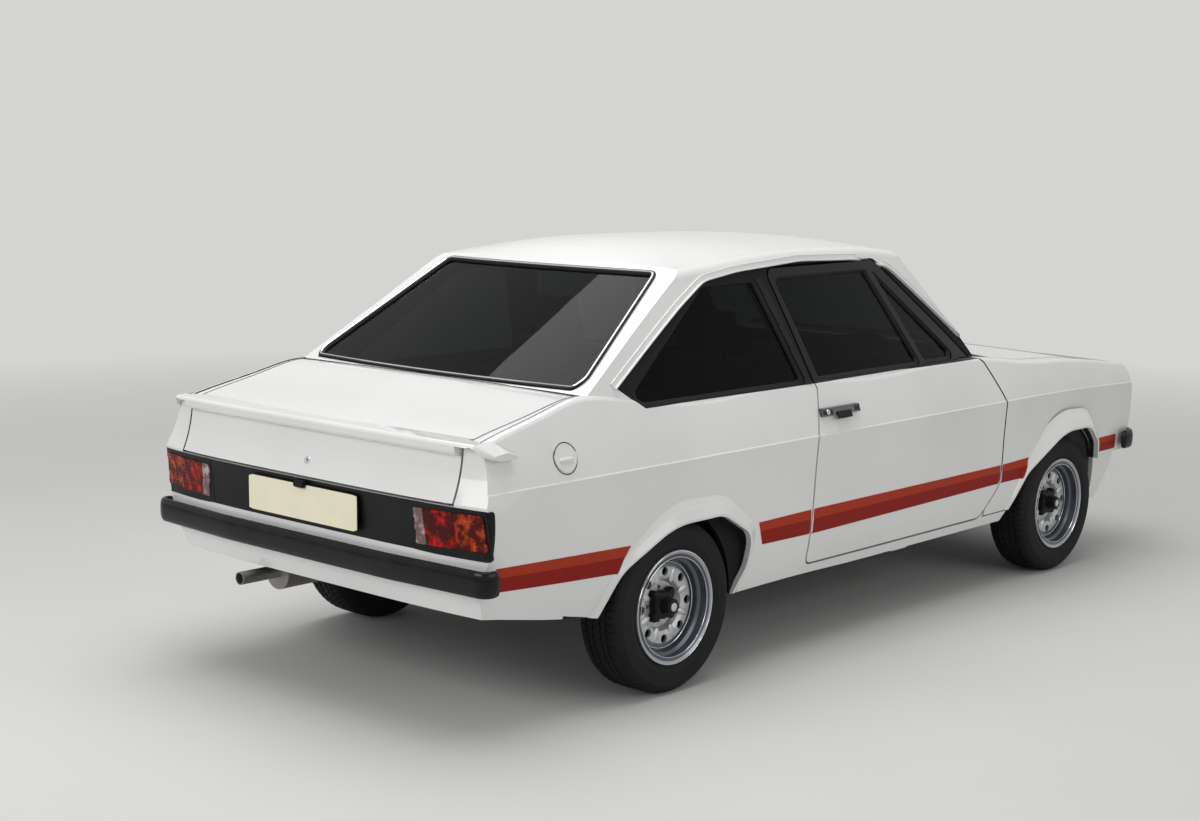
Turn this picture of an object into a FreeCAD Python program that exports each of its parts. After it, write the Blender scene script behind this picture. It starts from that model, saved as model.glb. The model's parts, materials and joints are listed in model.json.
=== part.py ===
import FreeCAD, Part
import math
import os
from FreeCAD import Placement, Rotation, Vector

# A two-door three-box saloon. X points forward, Y to the left, Z up, in millimetres.
# The origin lies on the ground, midway along and across the car.

doc = FreeCAD.newDocument("Saloon")

# Driving dimensions
SIZES = [
    ("half_length", 1989.0),
    ("wheelbase", 2407.0),
    ("front_axle_x", 1297.0),
    ("track_front", 1328.0),
    ("track_rear", 1350.0),
    ("tyre_radius", 277.0),
    ("tyre_half_width", 88.0),
    ("rim_half_width", 84.0),
    ("bead_radius", 165.0),
    ("flange_radius", 182.0),
    ("rim_wall", 6.0),
    ("rim_holes", 8),
    ("rim_hole_radius", 14.0),
    ("rim_hole_ring", 109.0),
    ("studs", 4),
    ("stud_ring", 54.0),
    ("hub_bore", 32.0),
    ("body_half_width", 763.0),
    ("crease_height", 738.0),
    ("belt_height", 898.0),
    ("sill_height", 262.0),
    ("roof_height", 1388.0),
    ("rail_height", 1315.0),
    ("rail_half_width", 574.0),
    ("skin", 16.0),
    ("door_depth", 42.0),
    ("jamb_gap", 6.0),
    ("side_wall", 60.0),
    ("pillar_wall", 46.0),
    ("screen_wall", 30.0),
    ("roof_wall", 24.0),
    ("floor_wall", 16.0),
    ("shut_gap", 7.5),
    ("glass_wall", 5.0),
    ("glass_set", 9.0),
    ("panel_wall", 12.0),
    ("bonnet_half_width", 633.0),
    ("boot_half_width", 640.0),
    ("well_radius", 318.0),
    ("lamp_radius", 85.0),
    ("lamp_offset", 515.0),
    ("lamp_height", 630.0),
    ("tube_radius", 21.0),
    ("axle_tube_radius", 36.0),
]

sheet = doc.addObject("Spreadsheet::Sheet", "Sizes")
for row, (alias, value) in enumerate(SIZES, start=1):
    sheet.set("A%d" % row, alias)
    sheet.set("B%d" % row, str(value))
    sheet.setAlias("B%d" % row, alias)
doc.recompute()


def size(alias):
    """One driving dimension, read from the sheet."""
    return float(sheet.get(alias))


half_length = size("half_length")
front_x = size("front_axle_x")
rear_x = front_x - size("wheelbase")
axle_z = size("tyre_radius")
half_width = size("body_half_width")
crease = size("crease_height")
belt = size("belt_height")
sill = size("sill_height")
roof = size("roof_height")
rail = size("rail_height")
rail_y = size("rail_half_width")
gap = size("shut_gap")
skin = size("skin")
tail = -half_length
nose = half_length
FAR = 3000.0


# Small helpers for outlines and volumes

def guide(points):
    """A smooth curve through (x, value) points, held level past its ends."""
    points = sorted(points)

    def slope(index):
        low = max(index - 1, 0)
        high = min(index + 1, len(points) - 1)
        return (points[high][1] - points[low][1]) / (points[high][0] - points[low][0])

    def value(x):
        if x <= points[0][0]:
            return points[0][1]
        if x >= points[-1][0]:
            return points[-1][1]
        index = max(i for i in range(len(points) - 1) if points[i][0] <= x)
        (x0, v0), (x1, v1) = points[index], points[index + 1]
        span = x1 - x0
        t = (x - x0) / span
        start = slope(index) * span
        end = slope(index + 1) * span
        rise = 3 * t ** 2 - 2 * t ** 3
        return v0 * (1 - rise) + v1 * rise + start * t * (1 - t) ** 2 - end * t ** 2 * (1 - t)

    return value


def line(a, b):
    return Part.LineSegment(a, b).toShape()


def arc(a, b, c):
    return Part.Arc(a, b, c).toShape()


def spline(points):
    curve = Part.BSplineCurve()
    curve.interpolate(points)
    return curve.toShape()


def flip(point):
    """The same point on the other side of the car."""
    return Vector(point.x, -point.y, point.z)


def mirrored(shape):
    return shape.mirror(Vector(0, 0, 0), Vector(0, 1, 0))


def rounded(corners, place):
    """A closed wire through (u, v, radius) corners, with its corners rounded."""
    count = len(corners)
    stops = []
    for index, (u, v, radius) in enumerate(corners):
        before = corners[index - 1]
        after = corners[(index + 1) % count]
        here = Vector(u, v, 0)
        back = Vector(before[0], before[1], 0) - here
        ahead = Vector(after[0], after[1], 0) - here
        half = back.getAngle(ahead) / 2
        if radius <= 0 or half > math.pi / 2 - 0.01:
            stops.append((here, here, here))
            continue
        reach = min(radius / math.tan(half), 0.45 * back.Length, 0.45 * ahead.Length)
        back.normalize()
        ahead.normalize()
        middle = back + ahead
        middle.normalize()
        fitted = reach * math.tan(half)
        depth = fitted / math.sin(half) - fitted
        stops.append((here + back * reach, here + middle * depth, here + ahead * reach))
    edges = []
    for index in range(count):
        start, middle, end = stops[index]
        if (end - start).Length > 0.01:
            edges.append(arc(place(start), place(middle), place(end)))
        following = stops[(index + 1) % count][0]
        if (following - end).Length > 0.01:
            edges.append(line(place(end), place(following)))
    return Part.Wire(edges)


def side_prism(corners, y_from, y_to, lean=0.0, grow=0.0):
    """An outline drawn in side view, run across the car; lean shifts it in X with each mm of Y."""
    wire = rounded(corners, lambda p: Vector(p.x + lean * y_from, y_from, p.y))
    face = Part.Face(wire)
    if grow:
        face = face.makeOffset2D(grow)
    reach = y_to - y_from
    return face.extrude(Vector(lean * reach, reach, 0))


def plan_prism(corners, z_from, z_to):
    """An outline drawn from above, run upwards."""
    wire = rounded(corners, lambda p: Vector(p.x, p.y, z_from))
    return Part.Face(wire).extrude(Vector(0, 0, z_to - z_from))


def front_prism(corners, x_from, x_to):
    """An outline drawn from the front as (y, z), run along the car."""
    wire = rounded(corners, lambda p: Vector(x_from, p.x, p.y))
    return Part.Face(wire).extrude(Vector(x_to - x_from, 0, 0))


def box(low, high):
    """A block between two opposite corners."""
    a = Vector(min(low[0], high[0]), min(low[1], high[1]), min(low[2], high[2]))
    b = Vector(max(low[0], high[0]), max(low[1], high[1]), max(low[2], high[2]))
    return Part.makeBox(b.x - a.x, b.y - a.y, b.z - a.z, a)


def tube_along(points, radius, bend):
    """A round rod along straight runs joined by arcs."""
    edges = []
    start = points[0]
    for before, here, after in zip(points, points[1:], points[2:]):
        back = (before - here).normalize()
        ahead = (after - here).normalize()
        half = back.getAngle(ahead) / 2
        reach = bend / math.tan(half)
        middle = (back + ahead).normalize()
        depth = bend / math.sin(half) - bend
        edges.append(line(start, here + back * reach))
        edges.append(arc(here + back * reach, here + middle * depth, here + ahead * reach))
        start = here + ahead * reach
    edges.append(line(start, points[-1]))
    path = Part.Wire(edges)
    heading = points[1] - points[0]
    circle = Part.Wire(Part.makeCircle(radius, points[0], heading))
    return path.makePipeShell([circle], True, False)


def solid_of(shape):
    """The single largest solid of a boolean's result."""
    return max(shape.Solids, key=lambda piece: piece.Volume)


# Guide curves of the body, each a function of X
crease_y = guide([
    (tail - 90, half_width - 13), (tail + 40, half_width - 7), (-1400, half_width - 2),
    (-400, half_width), (812, half_width - 4), (front_x, half_width - 13),
    (nose - 94, half_width - 41), (nose + 90, half_width - 51)])
crease_z = guide([
    (tail - 90, crease), (1100, crease), (1500, crease - 8), (nose - 94, crease - 25),
    (nose + 90, crease - 34)])
shoulder_z = guide([
    (tail - 90, belt - 83), (tail + 39, belt - 50), (tail + 126, belt - 29), (tail + 232, belt - 3),
    (-1600, belt + 32), (-1506, belt + 47), (-1400, belt + 54), (-1290, belt + 30), (-1200, belt + 12),
    (-900, belt + 6), (371, belt), (706, belt + 2), (876, belt - 15), (1249, belt - 47), (1653, belt - 83),
    (nose - 164, belt - 103), (nose + 90, belt - 133)])
centre_z = guide([
    (tail - 90, belt - 48), (tail + 89, belt - 11), (-1600, belt + 47), (-1455, belt + 77),
    (-1200, belt + 72), (-900, belt + 32), (400, belt + 27), (706, belt + 37), (900, belt + 24),
    (1315, belt - 10), (nose - 184, belt - 76), (nose + 90, belt - 120)])
bottom_z = guide([
    (tail - 90, sill + 133), (tail + 59, sill + 114), (-1529, sill + 48), (-1434, sill + 38),
    (-1200, sill + 8), (-760, sill), (nose + 90, sill)])
bottom_y = guide([
    (tail - 90, half_width - 73), (-1434, half_width - 41), (900, half_width - 41),
    (1500, half_width - 58), (nose + 90, half_width - 98)])

SHOULDER_ROUND = 26.0
SIDE_LEAN = 0.325
CREASE_STEP = 5.0


def lower_section(x, side=0.0, top=0.0, bottom=0.0):
    """The lower body's cross-section at x, drawn in by the given wall thicknesses."""
    yc = crease_y(x)
    zc = crease_z(x)
    zs = shoulder_z(x)
    zb = bottom_z(x)
    yb = bottom_y(x)
    ys = yc - CREASE_STEP - 1 - SIDE_LEAN * (zs - zc)

    def at(y, z):
        return Vector(x, y, z)

    foot = zb + bottom
    low = [at(yb - side, foot), at(yb + 12 - side, foot + 0.095 * (zc - foot)),
           at(yc - 6 - side, (foot + zc) / 2 - 30), at(yc - side, zc)]
    ledge = at(yc - CREASE_STEP - side, zc + 4)
    edge = at(ys - side, zs - top)
    middle = at((ledge.y + edge.y) / 2 + 3, (ledge.z + edge.z) / 2)
    turned = at(ys - SHOULDER_ROUND - 6 - side, zs + SHOULDER_ROUND * 0.42 - top)
    rolled = at(ys - side - SHOULDER_ROUND * 0.3, zs - top + SHOULDER_ROUND * 0.33)
    crown = at(0, centre_z(x) - top)
    right = [spline(low), line(low[-1], ledge), arc(ledge, middle, edge), arc(edge, rolled, turned)]
    left = [arc(flip(turned), flip(rolled), flip(edge)), arc(flip(edge), flip(middle), flip(ledge)),
            line(flip(ledge), flip(low[-1])), spline([flip(p) for p in reversed(low)])]
    return Part.Wire(right + [arc(turned, crown, flip(turned))] + left + [line(flip(low[0]), low[0])])


STATIONS = [tail - 90, tail + 89, tail + 232, -1600, -1400, -1100, -700, -200, 300, 706, 900,
            front_x + 15, 1653, nose - 94, nose + 90]


def lower_volume(x_from, x_to, side=0.0, top=0.0, bottom=0.0):
    """The lower body between two stations, drawn in by wall thicknesses."""
    inside = [x for x in STATIONS if x_from + 40 < x < x_to - 40]
    wires = [lower_section(x, side, top, bottom) for x in [x_from] + inside + [x_to]]
    return Part.makeLoft(wires, True, False)


def end_wire(y):
    """The side-view outline of tail and nose at a distance from the middle, with their plan curve."""
    share = abs(y) / half_width
    back = 34 * share ** 4 + 4 * share ** 2
    fore = 22 * share ** 2 + 16 * share ** 6

    def rear(x, z):
        return Vector(tail + x + back, y, z)

    def front(x, z):
        return Vector(nose + x - fore, y, z)

    valance = [rear(84, 240), rear(64, sill + 114), rear(39, sill + 188), rear(29, 560), rear(19, 690)]
    lid = [rear(17, 706), rear(33, 745), rear(46, 790), rear(55, 850)]
    hood = [front(-64, 800), front(-39, 772), front(-27, 740), front(-27, 600)]
    chin = [front(-27, 600), front(-44, 520), front(-74, 430), front(-99, 240)]
    edges = [spline(valance), line(valance[-1], lid[0]), spline(lid), line(lid[-1], rear(59, 1150)),
             line(rear(59, 1150), front(-64, 1150)), line(front(-64, 1150), hood[0]), spline(hood),
             spline(chin), line(chin[-1], valance[0])]
    return Part.Wire(edges)


def ends_volume():
    places = [share * half_width for share in (-1.18, -1.0, -0.79, -0.52, 0, 0.52, 0.79, 1.0, 1.18)]
    return Part.makeLoft([end_wire(y) for y in places], True, False)


# Guide curves of the cabin above the belt
cabin_y = guide([(-1500, half_width - 59), (-900, half_width - 52), (-329, half_width - 53),
                 (352, half_width - 73), (791, half_width - 115), (1000, half_width - 163)])
cant_y = guide([(-1500, rail_y - 8), (-900, rail_y + 2), (-329, rail_y - 1), (352, rail_y - 34),
                (791, rail_y - 56), (1000, rail_y - 69)])
cant_z = guide([(-1500, rail - 100), (-1278, rail - 85), (-900, rail - 40), (-767, rail - 27),
                (-421, rail - 1), (-69, rail + 2), (200, rail - 8), (352, rail - 23),
                (600, rail - 50), (1000, rail - 100)])
crown_z = guide([(-1500, roof - 238), (-1150, roof - 148), (-905, roof - 68), (-800, roof - 28),
                 (-745, roof - 16), (-480, roof), (-80, roof - 4), (200, roof - 16),
                 (360, roof - 36), (430, roof - 53), (700, roof - 118), (1000, roof - 198)])
CABIN_STATIONS = [-1500, -1150, -905, -800, -745, -480, -80, 200, 360, 430, 700, 1000]
CABIN_FOOT = 38.0


def cabin_section(x, side=0.0, top=0.0):
    """The cabin's cross-section at x: leaning side, rounded cant rail and crowned roof."""
    yr = cant_y(x)
    zr = cant_z(x)
    zc = crown_z(x)

    def at(y, z):
        return Vector(x, y, z)

    base = at(cabin_y(x) - side, belt - CABIN_FOOT - 2 * top)
    rail_point = at(yr - side, zr - top)
    middle = at((base.y + rail_point.y) / 2 + 4, (base.z + rail_point.z) / 2)
    turned = at(yr - 48 - side, zr + 36 - top)
    rolled = at(yr - 11 - side, zr + 22 - top)
    quarter = at(turned.y * 0.55, zc - top - (zc - top - turned.z) * 0.3)
    crown = spline([turned, quarter, at(0, zc - top), flip(quarter), flip(turned)])
    right = [arc(base, middle, rail_point), arc(rail_point, rolled, turned)]
    left = [arc(flip(turned), flip(rolled), flip(rail_point)), arc(flip(rail_point), flip(middle), flip(base))]
    return Part.Wire(right + [crown] + left + [line(flip(base), base)])


def screen_wire(y, inset):
    """The side-view outline between windscreen and rear screen at y, moved in by inset."""
    share = (abs(y) / 600.0) ** 2
    wind_low = Vector(895 - 92 * share - inset, y, belt + 7)
    wind_high = Vector(408 - 62 * share - inset, y, roof - 43)
    rear_high = Vector(-905 + 45 * share + inset, y, roof - 67)
    rear_low = Vector(-1462 + 40 * share + inset, y, belt + 78)
    wind = wind_low - wind_high
    back = rear_low - rear_high
    corners = [wind_low + wind * 0.3, wind_high - wind * 0.3, rear_high - back * 0.3, rear_low + back * 0.4]
    return Part.makePolygon(corners + [corners[0]])


def cabin_volume(side=0.0, top=0.0, inset=0.0):
    """The cabin above the belt, drawn in by wall thicknesses."""
    long_box = Part.makeLoft([cabin_section(x, side, top) for x in CABIN_STATIONS], True, False)
    places = (-900, -450, 0, 450, 900)
    between = Part.makeLoft([screen_wire(y, inset) for y in places], True, False)
    return solid_of(long_box.common(between))


subparts = []


def add_shape(name, shape):
    """Adds a sub-part that Part's own functions made."""
    item = doc.addObject("Part::Feature", name)
    item.Label = name
    item.Shape = shape
    subparts.append(item)
    return item


# Outer volumes and the hollows inside them
ends = ends_volume()
lower = solid_of(lower_volume(tail - 90, nose + 90).common(ends))
cabin = cabin_volume()
side_wall = size("side_wall")
door_depth = size("door_depth")
jamb = door_depth + size("jamb_gap")
pillar = size("pillar_wall")

CABIN_FRONT = 745.0
CABIN_REAR = -960.0
BAY_FRONT = nose - 105.0
BOOT_REAR = tail + 84.0

bay_hollow = lower_volume(CABIN_FRONT + 20, BAY_FRONT, skin, skin, -80)
cabin_hollow = lower_volume(CABIN_REAR, CABIN_FRONT, side_wall, -60, size("floor_wall") + 10)
boot_hollow = lower_volume(BOOT_REAR, CABIN_REAR - 20, 34, 20, 130)
cabin_inner = cabin_volume(pillar, size("roof_wall"), size("screen_wall"))

# Door outline, seen from the side
DOOR_LEAN = 0.2
SILL_TOP = sill + 39
door_corners = [
    (-409, SILL_TOP, 22), (-373, crease - 6, 0), (-330, belt - 6, 0), (-503, rail - 17, 26),
    (169, rail - 17, 60), (740, belt - 8, 40), (846, crease, 60), (832, 570, 0), (824, 418, 80),
    (700, SILL_TOP, 60)]


def leaning(corners, y_seen):
    """Corners seen on the skin at y_seen, set for a prism whose lean starts at y = 0."""
    return [(u - DOOR_LEAN * y_seen, v, r) for u, v, r in corners]


def door_prism(grow=0.0):
    drawn = leaning(door_corners, -half_width)
    return side_prism(drawn, -900, -300, DOOR_LEAN, grow)


half_space = box((-FAR, -FAR, 0), (FAR, 0, FAR))
lower_right = lower.common(half_space)
cabin_right = cabin.common(half_space)

SPLIT_Y = size("boot_half_width") + gap
middle_low = lower.common(box((tail - 60, -SPLIT_Y, 0), (nose + 60, SPLIT_Y, FAR)))
door_inner_low = lower_volume(-520, 860, door_depth, -60, 20)
door_inner_high = cabin_volume(door_depth - 14, 0, 0)
door_region = door_prism()
door_low = lower_right.common(door_region).cut(door_inner_low)
window_rear = [(-296, belt + 16, 20), (-442, rail - 45, 26), (142, rail - 45, 14), (372, belt + 16, 14)]
window_front = [(400, belt + 16, 12), (178, rail - 53, 12), (196, rail - 58, 20), (648, belt + 16, 18)]
window_cut = side_prism(window_rear, -900, -300).fuse(side_prism(window_front, -900, -300))
door_high = cabin_right.common(door_region).cut(door_inner_high).cut(middle_low)
door_right = solid_of(door_low.fuse(door_high).removeSplitter().cut(window_cut))
add_shape("door_right", door_right)
add_shape("door_left", mirrored(door_right))

glass_set = size("glass_set")
glass_outer = cabin_volume(glass_set, glass_set, glass_set)
glass_inner = cabin_volume(glass_set + size("glass_wall"), glass_set + size("glass_wall"),
                           glass_set + size("glass_wall"))
glass_right = glass_outer.common(half_space).cut(glass_inner)
door_glass = glass_right.common(window_cut)
add_shape("door_glass_right", Part.Compound(door_glass.Solids))
add_shape("door_glass_left", mirrored(Part.Compound(door_glass.Solids)))

# Wheel arches: a soft flare on the skin, an opening through it and a well behind it.
# Each corner is (x from the axle, z, corner radius, width of the flare there).
rear_opening = [(-384, 232, 0, 24), (-255, 430, 150, 44), (-35, 545, 300, 88), (200, 547, 150, 88),
                (372, 455, 90, 84), (368, 350, 100, 76), (295, 232, 0, 60)]
front_opening = [(-442, 232, 0, 24), (-345, 345, 80, 30), (-280, 440, 120, 44), (-40, 580, 250, 86),
                 (160, 580, 130, 80), (252, 505, 80, 60), (290, 400, 60, 44), (335, 232, 0, 30)]
LIP_Y = half_width + 25
LIP_SLOPE = 0.19
LIP_FLAT = 9.0
FLARE_FOOT_Y = half_width - 13
FLARE_FOOT_SLOPE = 0.115
FLARE_TOP = 614.0
ARCH_TOP = 548.0
MOUTH_DEPTH = half_width - 42
WELL_INNER = 545.0
well_steps = [(size("well_radius"), half_width - 51), (300.0, half_width - 21), (262.0, half_width + 5)]


def placed(corners, x, spread=0.0, share=0.0):
    """An opening's outline at its axle, moved outwards by spread and a share of each flare width."""
    moved = []
    for u, v, radius, width in corners:
        out = spread + share * (width - LIP_FLAT)
        grow = out / math.hypot(u, v - axle_z)
        moved.append((x + u * (1 + grow), v + (v - axle_z) * grow, radius + out if radius else 0))
    return moved


def flare(corners, x):
    """The raised band round an arch: wide and fading on the skin, narrow at its lip."""

    def foot_y(z):
        return -FLARE_FOOT_Y + FLARE_FOOT_SLOPE * (FLARE_TOP - z)

    def lip_y(z):
        return -LIP_Y + LIP_SLOPE * (ARCH_TOP - z)

    outer = rounded(placed(corners, x, LIP_FLAT, 1.0), lambda p: Vector(p.x, foot_y(p.y), p.y))
    middle = rounded(placed(corners, x, LIP_FLAT, 0.42), lambda p: Vector(
        p.x, 0.42 * foot_y(p.y) + 0.58 * lip_y(p.y) - 3, p.y))
    lip = rounded(placed(corners, x, LIP_FLAT), lambda p: Vector(p.x, lip_y(p.y), p.y))
    return Part.makeLoft([outer, middle, lip], True, True)


def wheel_room(corners, x, inner_y, mouth_y):
    """The space a wheel takes: the well, its taper under the flare and the opening through the skin."""
    along = Vector(0, 1, 0)
    radius, face = well_steps[0]
    pieces = [side_prism(placed(corners, x), -900, -mouth_y)]
    for (r_in, y_in), (r_out, y_out) in zip(well_steps, well_steps[1:]):
        pieces.append(Part.makeCone(r_out, r_in, y_out - y_in, Vector(x, -y_out, axle_z), along))
    return Part.makeCylinder(radius, face - inner_y, Vector(x, -face, axle_z), along).fuse(pieces)


rear_room = wheel_room(rear_opening, rear_x, WELL_INNER, MOUTH_DEPTH)
front_room = wheel_room(front_opening, front_x, 380, 600)

# Body side: sill, quarter, pillars and cant rail in one pressing
WING_FROM = 853.0
SIDE_END = 930.0
JACK_X = 200.0
JACK_DROP = 10.0
lamp_corners = [(-495, 571, 10), (-487, 679, 10), (-800, 696, 8), (-800, 552, 8)]
lamp_prism = front_prism(lamp_corners, tail - 60, tail + 76)

low_region = box((tail - 60, -900, 200), (SIDE_END, -SPLIT_Y, 1100))
side_low = lower_right.common(low_region)
side_low = side_low.cut(box((-380, -900, SILL_TOP - 2), (SIDE_END + 10, -500, 1100)).common(
    box((WING_FROM - 120, -900, 0), (FAR, 0, FAR))))
under_line = [(tail - 80, sill + 114, 0), (-1529, sill + 48, 0), (-1434, sill + 38, 0),
              (-1200, sill + 8, 0), (-760, sill, 0), (nose + 80, sill, 0), (nose + 80, 900, 0),
              (tail - 80, 900, 0)]
above_line = side_prism(under_line, -900, -500)
side_low = side_low.cut(cabin_hollow).cut(boot_hollow)
side_low = side_low.fuse(flare(rear_opening, rear_x).common(above_line)).cut([rear_room, front_room])
jack_pad = box((JACK_X - 50, -712, sill - JACK_DROP), (JACK_X + 50, -668, sill + JACK_DROP))
side_low = side_low.fuse(jack_pad)

side_high = cabin_right.cut(cabin_inner)
roof_side = [(520, -485), (352, -485), (300, -499), (40, -521), (-330, -535), (-800, -537),
             (-880, -488), (-1050, -488)]
roof_plan = [(x, y, 0) for x, y in roof_side] + [(x, -y, 0) for x, y in reversed(roof_side)]
roof_region = plan_prism(roof_plan, 1150, 1500)
wind_outline = [(-604, belt + 24, 30), (-503, roof - 82, 40), (503, roof - 82, 40), (604, belt + 24, 30)]
rear_outline = [(-626, belt + 76, 22), (-487, roof - 92, 30), (487, roof - 92, 30), (626, belt + 76, 22)]
wind_prism = front_prism(wind_outline, 300, 1100)
rear_prism = front_prism(rear_outline, -1600, -820)
quarter_corners = [(-376, belt + 14, 15), (-536, rail - 50, 18), (-800, rail - 53, 36),
                   (-1246, belt + 50, 20), (-1190, belt + 12, 24)]
quarter_prism = side_prism(quarter_corners, -900, -400)

side_high = side_high.cut(middle_low).cut(box((-FAR, -FAR, 0), (-1455, FAR, FAR)))
side_high = side_high.cut(door_prism(gap).common(box((-FAR, -FAR, 0), (FAR, 0, belt + 27))))
side_high = side_high.cut(roof_region).cut(wind_prism).cut(rear_prism).cut(quarter_prism)
side_right = side_low.fuse(side_high).cut(quarter_prism)
hinge_pocket = lower_volume(CABIN_FRONT - 105, WING_FROM + 60, skin, skin, 36).common(
    box((CABIN_FRONT - 45, -900, 0), (WING_FROM, -652, belt - 20)))
door_room = door_prism(gap)
door_room_outer = door_room.cut(lower_volume(-540, 880, jamb, -60, 20)).cut(cabin_volume(jamb - 14, 0, 0))
belt_plan = [(-600, -900, 0), (-600, -640, 0), (300, -628, 0), (560, -598, 0), (800, -560, 0), (800, -900, 0)]
belt_room = door_room.common(plan_prism(belt_plan, belt - 48, belt + 87))
side_right = side_right.cut(door_room_outer).cut(belt_room).cut(door_prism(-20)).cut(hinge_pocket).cut(lamp_prism)
pieces = sorted(side_right.Solids, key=lambda piece: -piece.Volume)
side_right = pieces[0]
add_shape("body_side_right", side_right)
add_shape("body_side_left", mirrored(side_right))

roof_panel = cabin.cut(cabin_inner).common(roof_region).cut(wind_prism).cut(rear_prism)
add_shape("roof_panel", solid_of(roof_panel))

# Glass
glass_shell = glass_outer.cut(glass_inner)
windscreen = glass_shell.common(wind_prism).cut(middle_low)
rear_screen = glass_shell.common(rear_prism).cut(middle_low)
quarter_window = glass_right.common(quarter_prism)
add_shape("windscreen", solid_of(windscreen))
add_shape("rear_screen", solid_of(rear_screen))
quarter_window = solid_of(quarter_window)
add_shape("quarter_windows", Part.Compound([quarter_window, mirrored(quarter_window)]))

# Front wings
wing_region = box((CABIN_FRONT, -900, SILL_TOP - 5 + gap), (nose + 60, -SPLIT_Y + 7, 1000))
wing_cut = box((front_x, -900, 0), (nose + 100, 0, 432))
wing = lower_right.fuse(flare(front_opening, front_x)).common(wing_region).cut(bay_hollow)
wing = wing.cut(front_room).cut(wing_cut).cut(door_room).cut(hinge_pocket)
wing = solid_of(wing)
add_shape("wing_right", wing)
add_shape("wing_left", mirrored(wing))

# Bonnet, scuttle and boot lid
bonnet_y = size("bonnet_half_width")
TUNNEL_Y = 120.0
TUNNEL_Z = 430.0
BONNET_REAR = 905.0
BONNET_FOOT = crease + 10
bonnet = lower.common(box((BONNET_REAR, -bonnet_y, BONNET_FOOT), (nose + 60, bonnet_y, 1000))).cut(bay_hollow)
add_shape("bonnet", solid_of(bonnet))
scuttle = lower.common(box((CABIN_FRONT, -SPLIT_Y + 7, sill), (BONNET_REAR - gap, SPLIT_Y - 7, 1000)))
scuttle = scuttle.cut(bay_hollow).cut(box((0, -TUNNEL_Y, 0), (FAR, TUNNEL_Y, TUNNEL_Z)))
add_shape("bulkhead_and_scuttle", solid_of(scuttle))

boot_y = size("boot_half_width")
LID_FRONT = -1455.0
LID_FOOT = 706.0
lid = lower.common(box((tail - 60, -boot_y, LID_FOOT), (LID_FRONT - gap, boot_y, 1100))).cut(boot_hollow)
lid = solid_of(lid)
add_shape("boot_lid", lid)
rear_panel = lower.common(box((tail - 60, -SPLIT_Y, 200), (tail + 90, SPLIT_Y, LID_FOOT - gap)))
rear_panel = rear_panel.cut(boot_hollow).cut(lamp_prism).cut(mirrored(lamp_prism))
add_shape("rear_panel", solid_of(rear_panel))
shelf = lower.common(box((LID_FRONT, -SPLIT_Y, 456), (CABIN_REAR, SPLIT_Y, 1100)))
shelf = shelf.cut(boot_hollow).cut(rear_room).cut(mirrored(rear_room))
add_shape("rear_bulkhead", solid_of(shelf))

# Tail lamps follow the corner of the body
tail_lamp = lower_right.common(front_prism(lamp_corners, tail - 60, tail + 70))
add_shape("tail_lamps", Part.Compound([solid_of(tail_lamp), mirrored(solid_of(tail_lamp))]))

# Floor, inner structure and running gear
FLOOR_Z = sill + 8
floor_wall = size("floor_wall")
panel = size("panel_wall")
KICK_X = -560.0
KICK_Z = 440.0
BOOT_FLOOR_Z = 400.0
SILL_IN = SPLIT_Y - 0.5


def floor_profile(shift):
    return [(CABIN_FRONT, FLOOR_Z + shift, 0), (KICK_X, FLOOR_Z + shift, 30),
            (KICK_X - 60, KICK_Z + shift, 30), (CABIN_REAR - 440, KICK_Z + shift, 30),
            (CABIN_REAR - 480, BOOT_FLOOR_Z + shift, 30), (tail + 92, BOOT_FLOOR_Z + shift, 0)]


floor_outline = floor_profile(0) + list(reversed(floor_profile(floor_wall)))
floor = side_prism(floor_outline, -SILL_IN, SILL_IN)
tunnel = box((-600, -TUNNEL_Y - panel, FLOOR_Z), (CABIN_FRONT, TUNNEL_Y + panel, TUNNEL_Z + panel))
tunnel_room = box((-FAR, -TUNNEL_Y, 0), (FAR, TUNNEL_Y, TUNNEL_Z)).common(
    box((KICK_X - 180, -FAR, 0), (FAR, FAR, FAR)))
floor = floor.fuse(tunnel).cut(tunnel_room)
well_outer = Part.makeCylinder(size("well_radius") + panel, SILL_IN - WELL_INNER + panel,
                               Vector(rear_x, -SILL_IN, axle_z), Vector(0, 1, 0))
well_outer = well_outer.common(box((-FAR, -FAR, KICK_Z - 40), (FAR, FAR, FAR)))
floor = floor.fuse([well_outer, mirrored(well_outer)]).cut(rear_room).cut(mirrored(rear_room))
floor = floor.cut(box((CABIN_REAR - 20, -FAR, KICK_Z + floor_wall), (CABIN_REAR + 0.1, FAR, FAR)))
add_shape("floor_pan", solid_of(floor))

LEG_Y = 345.0
LEG_IN = 290.0
strut_top = Vector(front_x, -488, 800)
strut_foot = Vector(front_x, -590, 200)
strut_line = (strut_top - strut_foot).normalize()


def on_strut(height):
    return strut_foot + strut_line * ((height - strut_foot.z) / strut_line.z)


leg = box((CABIN_FRONT + 20.5, -LEG_Y, 360), (BAY_FRONT - 45, -LEG_IN, 440))
apron = box((CABIN_FRONT + 20.5, -LEG_Y, 440), (BAY_FRONT - 45, -LEG_Y + panel, 770))
tower = box((front_x - 95, -540, 640), (front_x + 95, -LEG_Y + 1, 810))
tower_room = box((front_x - 80, -600, 600), (front_x + 80, -LEG_Y - 1, 797))
crossmember = box((front_x - 60, -LEG_Y, 300), (front_x + 60, LEG_Y, 360))
sump_room = box((front_x - 70, -130, 290), (front_x + 70, 130, 340))
arm = box((front_x - 18, -560, 190), (front_x + 18, -280, 212))
hanger = box((front_x - 40, -320, 190), (front_x + 40, -270, 310))
frame_right = leg.fuse([apron, tower.cut(tower_room), arm, hanger])
front_frame = frame_right.fuse([mirrored(frame_right), crossmember.cut(sump_room)]).removeSplitter()
add_shape("front_frame", front_frame)


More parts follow.
